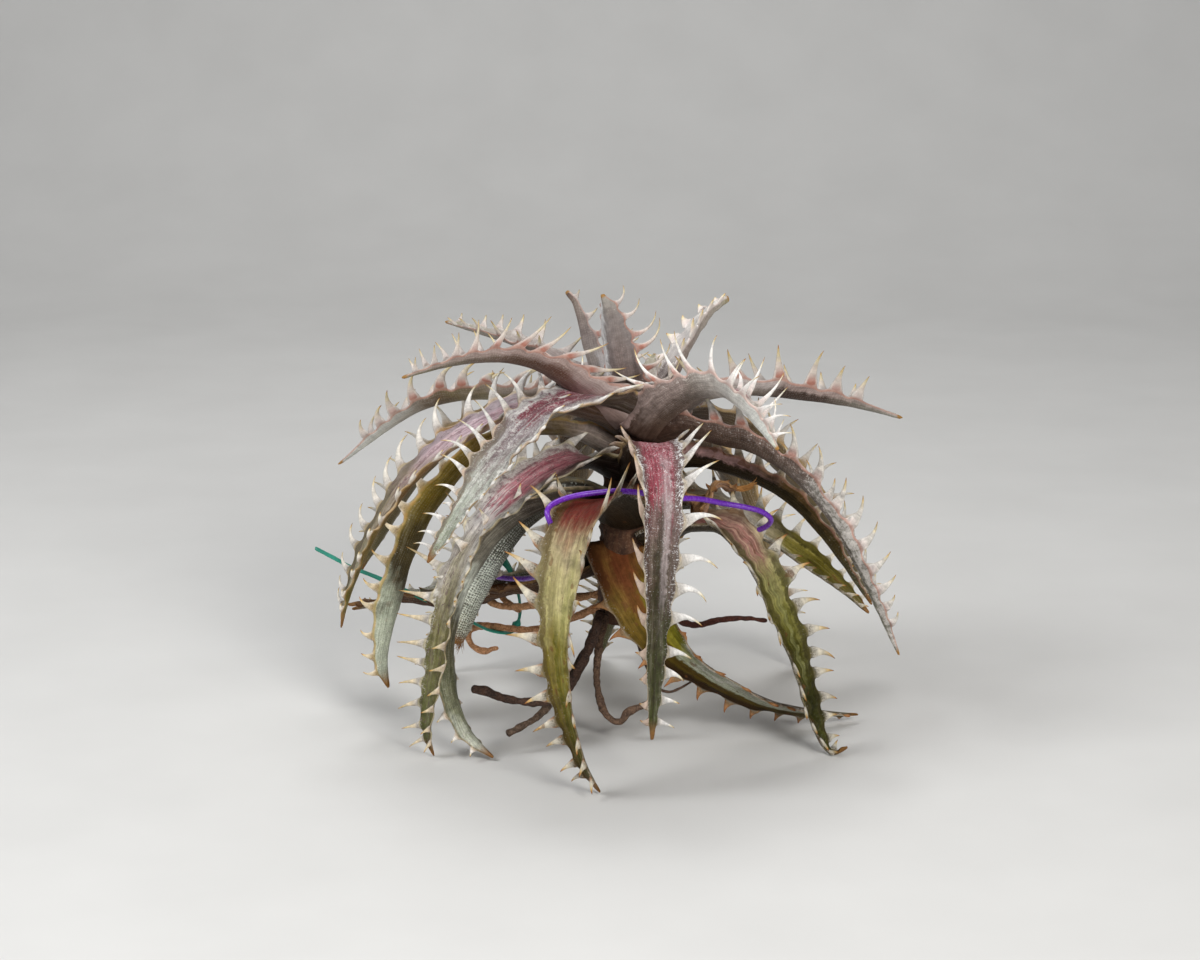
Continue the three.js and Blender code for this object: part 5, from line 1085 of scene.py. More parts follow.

# The lower ramps (the underside) run near black over the leaf's first part. This is partly the base's own dark dead
# tissue and partly painted shade of the crown's inside. Several leaves' own lower ramps in STYLE darken their bases
# the same way.
LOOKS = {
    "young": dict(
        upper=[(0.0, (0.2, 0.1, 0.09)), (0.3, (0.44, 0.34, 0.32)), (0.65, (0.50, 0.43, 0.39)), (0.9, (0.46, 0.43, 0.33)), (1.0, (0.34, 0.31, 0.15))],
        lower=[(0.0, (0.045, 0.022, 0.015)), (0.12, (0.12, 0.07, 0.052)), (0.3, (0.26, 0.19, 0.16)), (0.6, (0.36, 0.30, 0.26)), (0.9, (0.44, 0.40, 0.33)), (1.0, (0.36, 0.32, 0.17))],
        pale=(0.60, 0.55, 0.51), dark=(0.12, 0.075, 0.062), relief=0.4, streaks=0.16, fine=0.18, fold_shade=0.03, scurf=[(0.0, 0.3), (1.0, 0.45)], scurf_back=0.12, scurf_edge=0.4, scurf_edge_back=0.1,
        scurf_colour=(0.66, 0.62, 0.58), weave=0.2, dots=0.5, row_mm=0.36, edge=(0.72, 0.62, 0.57), edge_back=(0.56, 0.27, 0.2), edge_alt=(0.60, 0.36, 0.28), spine_foot=(0.74, 0.64, 0.6), spine_back=(0.54, 0.22, 0.16), spine=SPINE_YOUNG,
        foot_pits=0.08, rough=0.5, line=0.75, line_from=0.93, outline=0.8, pits=0.25, tip_from=0.975, tip=(0.42, 0.22, 0.06), salmon_to=0.75),
    "mid": dict(
        upper=[(0.0, (0.07, 0.02, 0.016)), (0.25, (0.26, 0.12, 0.12)), (0.45, (0.30, 0.22, 0.21)), (0.7, (0.26, 0.24, 0.16)), (1.0, (0.16, 0.17, 0.06))],
        lower=[(0.0, (0.02, 0.009, 0.005)), (0.2, (0.06, 0.034, 0.012)), (0.5, (0.22, 0.15, 0.055)), (0.8, (0.27, 0.215, 0.085)), (1.0, (0.2, 0.18, 0.06))],
        pale=(0.52, 0.45, 0.42), dark=(0.06, 0.028, 0.024), streaks=0.4, fine=0.3, fold_shade=0.55, scurf=[(0.0, 0.3), (0.5, 0.4), (1.0, 0.35)], scurf_back=0.08, scurf_edge=0.5, scurf_edge_back=0.15,
        weave=0.2, edge=(0.70, 0.62, 0.48), edge_back=(0.56, 0.38, 0.17), edge_alt=(0.62, 0.42, 0.24), spine_foot=(0.76, 0.71, 0.65), spine_back=(0.66, 0.52, 0.38), spine=SPINE_WHITE, rough=0.42, outline=0.4, foot_pits=0.3, pits=0.4),
    "old": dict(
        upper=[(0.0, (0.06, 0.018, 0.01)), (0.17, (0.2, 0.085, 0.04)), (0.3, (0.40, 0.31, 0.12)), (0.5, (0.33, 0.28, 0.09)), (0.75, (0.16, 0.15, 0.025)), (1.0, (0.075, 0.085, 0.012))],
        lower=[(0.0, (0.012, 0.006, 0.004)), (0.3, (0.05, 0.03, 0.008)), (0.7, (0.13, 0.11, 0.03)), (1.0, (0.12, 0.12, 0.035))],
        pale=(0.52, 0.46, 0.22), dark=(0.05, 0.036, 0.008), streaks=0.4, fine=0.2, fold_shade=0.15, scurf=[(0.0, 0.02), (1.0, 0.12)], scurf_back=0.25, scurf_edge=0.72, scurf_edge_back=0.5,
        near=0.66, specular=0.06, weave=0.25, edge=(0.56, 0.5, 0.38), edge_back=(0.42, 0.28, 0.12), spine_foot=(0.62, 0.58, 0.5), spine_back=(0.54, 0.42, 0.27), spine=SPINE_OLD, rough=0.36, blemish=0.6, pits=0.8),
    "silver": dict(
        upper=[(0.0, (0.07, 0.035, 0.015)), (0.3, (0.11, 0.085, 0.025)), (0.6, (0.18, 0.18, 0.1)), (1.0, (0.22, 0.24, 0.17))],
        lower=[(0.0, (0.05, 0.03, 0.012)), (0.2, (0.13, 0.12, 0.055)), (0.5, (0.27, 0.285, 0.215)), (0.9, (0.33, 0.35, 0.26)), (1.0, (0.16, 0.07, 0.03))],
        pale=(0.52, 0.54, 0.46), dark=(0.05, 0.05, 0.025), streaks=0.3, fine=0.3, scurf=[(0.0, 0.4), (1.0, 0.5)], scurf_back=0.2, scurf_edge=0.4,
        weave=0.85, dots=0.8, edge=(0.55, 0.52, 0.42), edge_back=(0.5, 0.44, 0.3), spine_foot=(0.64, 0.6, 0.52), spine_back=(0.58, 0.48, 0.35), spine=SPINE_OLD, rough=0.5),
    "dead": dict(
        upper=[(0.0, (0.07, 0.03, 0.014)), (0.4, (0.15, 0.062, 0.022)), (0.75, (0.2, 0.09, 0.032)), (1.0, (0.1, 0.045, 0.016))],
        lower=[(0.0, (0.06, 0.027, 0.012)), (0.4, (0.12, 0.052, 0.02)), (1.0, (0.09, 0.038, 0.015))],
        pale=(0.36, 0.23, 0.12), dark=(0.035, 0.016, 0.009), streaks=0.5, fine=0.6, fold_shade=0.7, scurf=[(0.0, 0.1), (1.0, 0.1)], scurf_back=0.1, scurf_edge=0.15,
        weave=0.2, edge=(0.26, 0.13, 0.055), edge_back=(0.17, 0.08, 0.035), spine_foot=(0.3, 0.17, 0.08), spine_back=(0.24, 0.12, 0.055), outline=0.0,
        spine=[(0.0, (0.34, 0.2, 0.09)), (0.5, (0.24, 0.11, 0.04)), (1.0, (0.08, 0.035, 0.014))], rough=0.62),
}


def look_of(base, **over):
    d = dict(LOOKS[base])
    d.update(over)
    return d


PATCH = dict(soft=0.07, wide=0.8, colour=CRIMSON)
BACK_PATCH = {"from": 0.24, "to": 0.4, "wide": 0.5, "soft": 0.1, "ragged": 0.1, "colour": (0.34, 0.02, 0.06), "light": (0.58, 0.2, 0.26), "strength": 0.85}
STYLE = {
    "front_leaf_centre": dict(base="mid", patch={"from": 0.26, "to": 0.44, "wide": 0.75, "centre": 0.08, "soft": 0.08, "ragged": 0.07, "colour": (0.40, 0.016, 0.055), "light": (0.66, 0.2, 0.27)},
        look=dict(upper=[(0.0, (0.05, 0.012, 0.01)), (0.22, (0.09, 0.02, 0.02)), (0.32, (0.24, 0.05, 0.06)), (0.45, (0.30, 0.14, 0.15)), (0.56, (0.17, 0.11, 0.085)), (0.66, (0.045, 0.04, 0.01)), (0.85, (0.05, 0.06, 0.008)), (1.0, (0.07, 0.09, 0.01))],
            stripes=[{"at": -0.25, "wide": 0.22, "from": 0.36, "to": 0.68, "colour": (0.56, 0.47, 0.47), "strength": 0.6}, {"at": 0.05, "wide": 0.16, "from": 0.5, "to": 0.98, "colour": (0.03, 0.026, 0.006), "strength": 0.75},
                {"at": 0.88, "wide": 0.22, "from": 0.12, "to": 0.34, "colour": (0.09, 0.03, 0.025), "strength": 0.85, "scurf": -0.4}, {"at": 0.88, "wide": 0.22, "from": 0.34, "to": 0.66, "colour": (0.14, 0.08, 0.065), "strength": 0.7, "scurf": 0.1}, {"at": -0.85, "wide": 0.24, "from": 0.22, "to": 0.7, "colour": (0.13, 0.09, 0.075), "strength": 0.7, "scurf": 0.05}],
            scurf=[(0.0, 0.15), (0.22, 0.3), (0.3, 0.42), (0.42, 0.34), (0.6, 0.2), (0.75, 0.1), (1.0, 0.04)], scurf_colour=(0.95, 0.94, 0.93), scurf_strength=0.9, dark=(0.045, 0.016, 0.014), streaks=0.3, scurf_edge=0.3, near=0.6, fold_shade=0.5, mottle=0.4, pits=0.8, spine=SPINE_BRIGHT, left_tint=((0.66, 0.46, 0.34), 0.75)),
        shape=dict(lean=([(0.13, 60), (0.3, 50), (0.45, 38), (0.6, 32), (0.75, 20), (1, 5)], [(0.13, 60), (0.3, 60), (0.5, 52), (0.7, 32), (1, 10)]), hook=([(0.13, -35), (0.35, -10), (0.5, 70), (0.65, 105), (0.8, 60), (1, 20)], [(0, -15), (0.4, -35), (0.6, -35), (1, -20)]), size=(0.95, 0.76), wrinkle=0.22, wave=0.04, stout=1.1)),
    "front_leaf_left_of_centre": dict(base="old", patch={"from": 0.18, "to": 0.36, "wide": 1.0, "centre": 0.0, "soft": 0.09, "ragged": 0.03, "colour": (0.13, 0.006, 0.006), "light": (0.21, 0.022, 0.016)},
        look=dict(upper=[(0.0, (0.05, 0.015, 0.008)), (0.2, (0.12, 0.02, 0.014)), (0.34, (0.24, 0.10, 0.06)), (0.44, (0.52, 0.43, 0.25)), (0.57, (0.53, 0.48, 0.2)), (0.67, (0.27, 0.215, 0.03)), (0.82, (0.115, 0.085, 0.003)), (1.0, (0.05, 0.028, 0.006))],
            stripes=[{"at": 0.86, "wide": 0.2, "from": 0.14, "to": 0.97, "colour": (0.085, 0.055, 0.018), "strength": 0.85, "scurf": 0.04}, {"at": -0.9, "wide": 0.12, "from": 0.56, "to": 0.97, "colour": (0.12, 0.10, 0.02), "strength": 0.6}, {"at": 0.35, "wide": 0.2, "from": 0.5, "to": 0.98, "colour": (0.16, 0.12, 0.05), "strength": 0.5},
                {"at": -0.05, "wide": 0.16, "from": 0.62, "to": 0.98, "colour": (0.07, 0.08, 0.006), "strength": 0.6}, {"at": -0.5, "wide": 0.15, "from": 0.5, "to": 0.98, "colour": (0.3, 0.3, 0.09), "strength": 0.5}],
            # partly painted shade: the underside's ramp stays near black over the base third, where the crown's inside
            # is in shadow; the dark base tissue itself is real
            lower=[(0.0, (0.01, 0.005, 0.003)), (0.35, (0.03, 0.016, 0.006)), (0.7, (0.10, 0.085, 0.03)), (1.0, (0.16, 0.16, 0.08))], streaks=[(0.0, 0.04), (0.34, 0.06), (0.46, 0.26), (0.62, 0.32), (0.75, 0.16), (1.0, 0.12)], scurf_edge_back=0.6, scurf_edge=0.2, near=0.8, line=0.3, outline=0.7, outline_colour=(0.40, 0.17, 0.06), spine_foot=(0.46, 0.41, 0.33), foot_pits=0.85, mottle=0.35),
        shape=dict(lean=([(0.13, 50), (0.3, 45), (0.5, 20), (0.7, 15), (1, 5)], [(0.13, 55), (0.3, 50), (0.5, 30), (0.7, 15), (1, 0)]), hook=([(0, 20), (0.4, 35), (1, 30)], [(0, 0), (1, 25)]), rise_at=([(0, 78), (1, 60)], [(0, 40), (1, 40)]), jitter=13, stout=1.25, size=(1.0, [(0, 0.95), (0.4, 0.9), (1, 0.95)]), wave=0.03, wrinkle=0.08)),
    "front_leaf_right": dict(base="old", patch={"from": 0.14, "to": 0.34, "wide": 0.6, "centre": -0.1, "soft": 0.08, "colour": (0.40, 0.15, 0.13), "light": (0.7, 0.44, 0.37)},
        look=dict(upper=[(0.0, (0.05, 0.014, 0.008)), (0.13, (0.13, 0.05, 0.03)), (0.27, (0.44, 0.32, 0.22)), (0.4, (0.42, 0.38, 0.16)), (0.5, (0.26, 0.245, 0.05)), (0.62, (0.09, 0.085, 0.004)), (0.8, (0.03, 0.032, 0.002)), (1.0, (0.08, 0.085, 0.01))],
            streaks=[(0.0, 0.1), (0.3, 0.45), (0.5, 0.4), (0.66, 0.14), (1.0, 0.1)],
            stripes=[{"at": 0.76, "wide": 0.27, "from": 0.1, "to": 0.98, "colour": (0.05, 0.036, 0.004), "strength": 0.88, "scurf": 0.0}, {"at": -0.86, "wide": 0.2, "from": 0.36, "to": 0.98, "colour": (0.055, 0.045, 0.012), "strength": 0.8, "scurf": 0.0}, {"at": -0.1, "wide": 0.16, "from": 0.4, "to": 0.7, "colour": (0.34, 0.34, 0.13), "strength": 0.6}], pale=(0.5, 0.46, 0.24), scurf_edge=0.1, near=0.8, line=0.2, foot_pits=0.8, mottle=0.45, spine_foot=(0.50, 0.46, 0.38)),
        shape=dict(hook=[(0, 10), (0.3, 40), (1, 30)], jitter=13, size=[(0, 0.95), (0.4, 0.8), (1, 0.8)], lump=0.2, rib=0.28, stout=1.4, wave=0.08, crimp=(0.0, 0.35))),
    "low_leaf_right": dict(base="old", look=dict(upper=[(0.0, (0.03, 0.006, 0.003)), (0.1, (0.25, 0.10, 0.03)), (0.2, (0.22, 0.13, 0.02)), (0.32, (0.13, 0.08, 0.004)), (0.45, (0.055, 0.022, 0.002)), (0.65, (0.11, 0.055, 0.012)), (0.8, (0.14, 0.11, 0.045)), (1.0, (0.16, 0.13, 0.05))], streaks=[(0.0, 0.12), (0.2, 0.3), (0.35, 0.12), (1.0, 0.12)],
            # partly painted light: the pale yellow-green band (the last stripe) is the leaf's own, but it is made
            # paler than it is so it reads lit where the leaf faces down into shade
            stripes=[{"at": -0.55, "wide": 0.4, "from": 0.2, "to": 0.44, "colour": (0.22, 0.22, 0.015), "strength": 0.8}, {"at": 0.78, "wide": 0.28, "from": 0.32, "to": 0.72, "colour": (0.012, 0.004, 0.001), "strength": 0.95, "scurf": -0.7}, {"at": 0.3, "wide": 0.3, "from": 0.3, "to": 0.95, "colour": (0.085, 0.06, 0.004), "strength": 0.7, "scurf": -0.3}, {"at": 0.85, "wide": 0.2, "from": 0.05, "to": 0.16, "colour": (0.08, 0.02, 0.008), "strength": 0.8}, {"at": 0.0, "wide": 0.3, "from": 0.02, "to": 0.26, "colour": (0.2, 0.045, 0.02), "strength": 0.7}, {"at": -0.35, "wide": 0.2, "from": 0.2, "to": 0.42, "colour": (0.30, 0.26, 0.03), "strength": 0.7}, {"at": -0.5, "wide": 0.6, "soft": 0.2, "from": 0.42, "to": 1.0, "colour": (0.68, 0.74, 0.54), "strength": 1.0, "scurf": 0.6}], pale=(0.36, 0.25, 0.08),
            lower=[(0.0, (0.012, 0.005, 0.003)), (0.3, (0.06, 0.018, 0.006)), (0.7, (0.10, 0.055, 0.01)), (1.0, (0.12, 0.10, 0.03))], edge_alt=(0.5, 0.2, 0.04), spine_back=(0.40, 0.2, 0.09), spine_foot=(0.36, 0.24, 0.13), spine=[(0.0, (0.42, 0.22, 0.10)), (0.5, (0.50, 0.25, 0.11)), (0.82, (0.40, 0.15, 0.05)), (1.0, (0.14, 0.05, 0.02))], line=0.4, scurf_edge=0.3, mottle=0.35, outline_colour=(0.5, 0.2, 0.05), outline=0.6),
        shape=dict(size=(0.45, 0.85), hook=[(0, 20), (1, 45)])),
    "left_leaf_upper_front": dict(base="mid", patch={"from": 0.19, "to": 0.42, "wide": 0.55, "centre": 0.15, "soft": 0.05, "ragged": 0.1, "colour": (0.32, 0.012, 0.045), "light": (0.52, 0.12, 0.19)},
        shape=dict(lean=[(0.03, 72), (0.13, 50), (0.4, 25), (0.7, 15), (1, 5)], hook=([(0, -20), (1, -30)], [(0, 10), (0.3, 45), (1, 60)]), wrinkle=0.34, crease=1.3, wave=0.09, size=([(0, 1.25), (0.14, 1.0), (0.35, 0.35), (1, 0.3)], 1.0), first=0.03, spines=16, crimp=(0.5, 0.25)),
        look=dict(tone=1.1, upper=[(0.0, (0.16, 0.11, 0.1)), (0.09, (0.86, 0.82, 0.80)), (0.18, (0.6, 0.5, 0.51)), (0.3, (0.33, 0.2, 0.22)), (0.45, (0.43, 0.36, 0.38)), (0.62, (0.46, 0.44, 0.40)), (0.77, (0.60, 0.64, 0.54)), (1.0, (0.26, 0.31, 0.18))],
            lower=[(0.0, (0.03, 0.015, 0.01)), (0.2, (0.12, 0.085, 0.05)), (0.5, (0.36, 0.32, 0.2)), (1.0, (0.4, 0.4, 0.28))],
            pale=(0.68, 0.68, 0.67), dark=(0.15, 0.085, 0.095), scurf=[(0.0, 0.35), (0.35, 0.5), (0.8, 0.5), (1.0, 0.4)], scurf_colour=(0.86, 0.86, 0.81), scurf_strength=0.62, pits=0.15, fold_shade=0.6, streaks=0.5, mottle=0.36, spine=SPINE_BRIGHT,
            stripes=[{"at": 0.88, "wide": 0.24, "from": 0.46, "to": 1.0, "colour": (0.14, 0.10, 0.06), "strength": 0.92, "scurf": -0.6}, {"at": 0.88, "wide": 0.2, "from": 0.28, "to": 0.43, "colour": (0.82, 0.79, 0.8), "strength": 0.7}, {"at": -0.8, "wide": 0.2, "from": 0.2, "to": 0.34, "colour": (0.66, 0.62, 0.62), "strength": 0.7}, {"at": 0.2, "wide": 0.1, "from": 0.3, "to": 0.66, "colour": (0.20, 0.09, 0.11), "strength": 0.6}, {"at": -0.35, "wide": 0.1, "from": 0.35, "to": 0.8, "colour": (0.26, 0.16, 0.17), "strength": 0.5}], edge=(0.74, 0.60, 0.44), edge_alt=(0.66, 0.42, 0.32), line=0.9)),
    "left_leaf_lower_front": dict(base="mid", patch={"from": 0.14, "to": 0.33, "wide": 0.62, "centre": 0.05, "soft": 0.07, "ragged": 0.09, "colour": (0.42, 0.025, 0.075), "light": (0.68, 0.27, 0.33), "strength": 0.92},
        shape=dict(rise_at=([(0, 52), (0.6, 52), (0.72, 98), (1, 92)], [(0, 52), (1, 52)]), wrinkle=0.26, crease=1.2, wave=0.06, first=0.09, spines=16, lean=[(0.03, 74), (0.14, 62), (0.3, 40), (0.5, 20), (0.68, 0), (0.97, -8)], hook=[(0, -12), (0.3, 0), (1, 12)], size=([(0, 1.3), (0.12, 1.0), (0.3, 0.2), (0.62, 0.16), (0.72, 0.7), (1, 0.75)], [(0, 1.1), (1, 1.0)]), crimp=(0.6, 0.15)),
        look=dict(upper=[(0.0, (0.10, 0.035, 0.03)), (0.12, (0.36, 0.2, 0.2)), (0.24, (0.56, 0.40, 0.40)), (0.38, (0.66, 0.62, 0.6)), (0.53, (0.42, 0.38, 0.26)), (0.66, (0.21, 0.19, 0.055)), (0.85, (0.13, 0.14, 0.03)), (1.0, (0.08, 0.095, 0.014))],
            lower=[(0.0, (0.012, 0.006, 0.003)), (0.25, (0.03, 0.02, 0.007)), (0.42, (0.13, 0.11, 0.06)), (0.52, (0.13, 0.11, 0.04)), (0.62, (0.07, 0.06, 0.006)), (0.8, (0.05, 0.046, 0.004)), (1.0, (0.10, 0.11, 0.03))],
            pale=(0.62, 0.57, 0.54), dark=(0.13, 0.07, 0.075), scurf=[(0.0, 0.3), (0.35, 0.35), (0.55, 0.26), (0.7, 0.12), (1.0, 0.1)], scurf_strength=0.75, pits=0.2, fold_shade=0.75, streaks=[(0.0, 0.5), (0.55, 0.45), (0.7, 0.22), (1.0, 0.18)], mottle=0.45, warm=0.8, weave=[(0.0, 0.1), (0.4, 0.3), (0.7, 0.15)], scurf_back=[(0.0, 0.0), (0.25, 0.05), (0.38, 0.25), (0.5, 0.35), (0.6, 0.06), (1.0, 0.1)], scurf_edge_back=0.08,
            stripes=[{"at": -0.8, "wide": 0.26, "from": 0.32, "to": 0.6, "colour": (0.76, 0.73, 0.64), "strength": 0.8, "scurf": 0.3}, {"at": -0.76, "wide": 0.3, "from": 0.62, "to": 1.0, "colour": (0.12, 0.105, 0.022), "strength": 0.9, "scurf": -0.4}, {"at": -0.85, "wide": 0.24, "from": 0.0, "to": 0.2, "colour": (0.04, 0.018, 0.008), "strength": 0.9, "scurf": -0.6}, {"at": 0.85, "wide": 0.22, "from": 0.1, "to": 0.6, "colour": (0.55, 0.5, 0.47), "strength": 0.6}],
            edge=(0.76, 0.68, 0.48), edge_back=(0.42, 0.32, 0.15), edge_alt=(0.66, 0.56, 0.34), line=0.85, line_from=0.9)),
    "left_leaf_long_arch": dict(base="mid", patch={"from": 0.12, "to": 0.34, "wide": 0.6, "soft": 0.1, "ragged": 0.1, "colour": (0.34, 0.12, 0.14), "light": (0.56, 0.34, 0.37), "strength": 0.6},
        shape=dict(lean=[(0.13, 40), (0.35, 18), (0.6, 12), (1, 10)], hook=[(0, 0), (0.3, -70), (1, -95)], wrinkle=0.3, crease=1.4, size=([(0, 0.8), (0.35, 0.4), (1, 0.5)], 1.05), crimp=(0.45, 0.1)),
        look=dict(scurf_edge=0.24, upper=[(0.0, (0.07, 0.02, 0.016)), (0.2, (0.28, 0.25, 0.24)), (0.36, (0.78, 0.60, 0.68)), (0.5, (0.70, 0.50, 0.54)), (0.62, (0.46, 0.34, 0.27)), (0.78, (0.40, 0.35, 0.2)), (1.0, (0.34, 0.33, 0.17))],
            lower=[(0.0, (0.03, 0.014, 0.007)), (0.15, (0.16, 0.09, 0.05)), (0.3, (0.72, 0.48, 0.44)), (0.4, (0.52, 0.33, 0.24)), (0.5, (0.25, 0.13, 0.03)), (0.65, (0.17, 0.088, 0.01)), (0.85, (0.15, 0.115, 0.006)), (1.0, (0.16, 0.14, 0.012))], scurf_back=[(0, 0.1), (0.45, 0.08), (0.6, 0.02), (1, 0.02)], scurf_edge_back=0.08,
            pale=(0.66, 0.61, 0.62), dark=(0.11, 0.05, 0.06), scurf=[(0.0, 0.3), (0.4, 0.3), (1.0, 0.35)], scurf_strength=0.7, pits=0.2, weave=0.12, fine=0.2, streaks=0.45, fold_shade=0.6, mottle=0.34, warm=0.25, spine=SPINE_BRIGHT,
            stripes=[{"at": -0.82, "wide": 0.24, "from": 0.54, "to": 0.72, "colour": (0.15, 0.075, 0.018), "strength": 0.95, "scurf": -0.7}, {"at": -0.5, "wide": 0.06, "from": 0.42, "to": 0.95, "colour": (0.66, 0.54, 0.36), "strength": 0.8}, {"at": 0.82, "wide": 0.26, "from": 0.18, "to": 0.58, "colour": (0.26, 0.22, 0.23), "strength": 0.8, "scurf": -0.2}, {"at": 0.82, "wide": 0.28, "from": 0.58, "to": 0.98, "colour": (0.12, 0.10, 0.055), "strength": 0.9, "scurf": -0.4}, {"at": 0.25, "wide": 0.08, "from": 0.3, "to": 0.72, "colour": (0.26, 0.13, 0.15), "strength": 0.6}],
            edge=(0.72, 0.58, 0.36), edge_back=(0.4, 0.24, 0.07), edge_alt=(0.6, 0.36, 0.14), line=0.65)),
    "left_leaf_behind_arch": dict(base="old", shape=dict(first=0.05, spines=15, size=[(0.05, 1.2), (0.3, 1.0), (1, 1.0)], lean=[(0.05, 70), (0.2, 50), (0.35, 10), (1, -5)], hook=[(0, 0), (0.3, -45), (1, -55)]),
        look=dict(tone=1.3, upper=[(0.0, (0.05, 0.02, 0.01)), (0.2, (0.09, 0.055, 0.04)), (0.34, (0.22, 0.17, 0.06)), (0.6, (0.24, 0.22, 0.12)), (1.0, (0.3, 0.31, 0.2))],
            lower=[(0.0, (0.05, 0.035, 0.025)), (0.12, (0.42, 0.34, 0.3)), (0.22, (0.17, 0.11, 0.035)), (0.36, (0.34, 0.23, 0.05)), (0.48, (0.24, 0.165, 0.012)), (0.6, (0.11, 0.08, 0.02)), (0.7, (0.075, 0.06, 0.032)), (0.8, (0.56, 0.62, 0.48)), (1.0, (0.70, 0.76, 0.60))], weave=[(0, 0.1), (0.7, 0.1), (0.85, 0.3)],
            pale=(0.46, 0.45, 0.34), dark=(0.07, 0.05, 0.02), scurf_back=[(0, 0.02), (0.7, 0.06), (0.85, 0.3)], scurf_edge=0.3, scurf_edge_back=0.08, scurf_colour=(0.86, 0.88, 0.8), edge_back=(0.5, 0.37, 0.12), edge_alt=(0.5, 0.22, 0.06), spine_back=(0.56, 0.42, 0.24), spine=SPINE_WHITE, warm=0.7, mottle=0.35, blemish=0.2)),
    "left_leaf_hidden_front": dict(base="mid", look=dict(tone=1.15, weave=0.2, edge_back=(0.2, 0.18, 0.08), scurf_back=[(0, 0), (0.6, 0.04), (0.8, 0.1), (0.92, 0.4), (1, 0.45)], scurf_edge_back=0.05, lower=[(0.0, (0.012, 0.004, 0.002)), (0.24, (0.03, 0.022, 0.01)), (0.38, (0.2, 0.19, 0.14)), (0.5, (0.9, 0.95, 0.82)), (0.6, (0.07, 0.065, 0.02)), (0.75, (0.10, 0.115, 0.045)), (0.86, (0.26, 0.28, 0.16)), (0.93, (0.72, 0.76, 0.62)), (1.0, (0.74, 0.7, 0.6))], upper=[(0.0, (0.05, 0.02, 0.015)), (0.5, (0.18, 0.16, 0.09)), (1.0, (0.24, 0.27, 0.16))], mottle=0.5)),
    "left_leaf_long_back": dict(base="young", shape=dict(lean=[(0.13, 40), (0.35, 14), (0.6, 4), (1, 0)], hook=[(0, 0), (0.3, -60), (1, -75)], last=0.88, spines=10, stout=1.5, size=[(0, 1.05), (0.6, 1.2), (1, 1.35)]),
        look=dict(lower=[(0.0, (0.05, 0.025, 0.018)), (0.2, (0.26, 0.19, 0.14)), (0.4, (0.44, 0.38, 0.23)), (0.52, (0.27, 0.21, 0.10)), (0.64, (0.18, 0.125, 0.075)), (0.78, (0.86, 0.84, 0.77)), (1.0, (0.8, 0.82, 0.76))],
            stripes=[{"at": -0.85, "wide": 0.2, "from": 0.1, "to": 0.45, "colour": (0.6, 0.5, 0.46), "strength": 0.8, "below": True}, {"at": -0.85, "wide": 0.2, "from": 0.7, "to": 1.0, "colour": (0.74, 0.74, 0.7), "strength": 0.8, "below": True}])),
    "left_leaf_upper": dict(base="young", shape=dict(lean=([(0.13, 75), (0.5, 55), (0.75, 25), (0.9, 0)], [(0.13, 50), (0.5, 25), (0.8, 0)]), hook=[(0, 18), (0.6, 25), (1, -15)]),
        # painted shade: the underside's ramp darkens from about a third of the way along to four fifths, where this
        # underside lies in shadow
        look=dict(outline=0.6, pale=(0.42, 0.36, 0.33), lower=[(0.0, (0.06, 0.03, 0.022)), (0.12, (0.46, 0.33, 0.29)), (0.26, (0.34, 0.2, 0.195)), (0.38, (0.13, 0.055, 0.036)), (0.52, (0.095, 0.05, 0.028)), (0.64, (0.14, 0.095, 0.07)), (0.78, (0.14, 0.115, 0.08)), (1.0, (0.28, 0.27, 0.14))],
            stripes=[{"at": -0.95, "wide": 0.34, "from": 0.06, "to": 0.34, "colour": (0.8, 0.68, 0.64), "strength": 0.75, "soft": 0.95, "below": True}, {"at": -0.95, "wide": 0.26, "from": 0.32, "to": 0.97, "colour": (0.62, 0.48, 0.44), "strength": 0.8, "soft": 0.9, "below": True}])),
    "crown_leaf_right_back": dict(base="young", shape=dict(lump=0.5, stout=2.0, thick=1.6, keel=0.8, size=0.68, hook=[(0, 20), (1, 60)]), look=dict(tone=1.25, spine_back=(0.7, 0.62, 0.58), edge_back=(0.66, 0.58, 0.54), edge=(0.8, 0.76, 0.74), relief=0.4, foot_pits=0.0, upper=[(0.0, (0.2, 0.12, 0.1)), (0.36, (0.22, 0.18, 0.17)), (0.5, (0.6, 0.56, 0.54)), (0.9, (0.74, 0.72, 0.68)), (1.0, (0.6, 0.56, 0.46))])),
    "crown_leaf_upright": dict(base="young", shape=dict(lean=[(0.13, 20), (0.5, 12), (1, 0)], hook=([(0, 60), (0.5, 95), (1, 90)], 30), size=(1.25, 0.25), keel=1.0, lump=0.2, wide=1.06, stout=0.9),
        look=dict(pale=(0.44, 0.42, 0.41), weave=0.07, streaks=0.1, fine=0.1, lower=[(0.0, (0.03, 0.015, 0.01)), (0.14, (0.08, 0.048, 0.034)), (0.28, (0.12, 0.082, 0.068)), (0.42, (0.18, 0.14, 0.13)), (0.62, (0.27, 0.23, 0.22)), (0.8, (0.33, 0.295, 0.28)), (1.0, (0.4, 0.37, 0.32))],
            relief=0.25, scurf_back=0.08, scurf_strength=0.5, mottle=0.3,
            # painted light: the white band along one margin of the underside is a painted highlight, and the dark band
            # over the other half is painted shade, as if lit from the first side
            stripes=[{"at": 0.95, "wide": 0.42, "from": 0.2, "to": 1.0, "colour": (1.0, 1.0, 1.0), "strength": 1.0, "soft": 0.6, "below": True}, {"at": -0.42, "wide": 0.42, "from": 0.3, "to": 0.9, "colour": (0.14, 0.1, 0.086), "strength": 0.55, "soft": 0.9, "below": True}])),
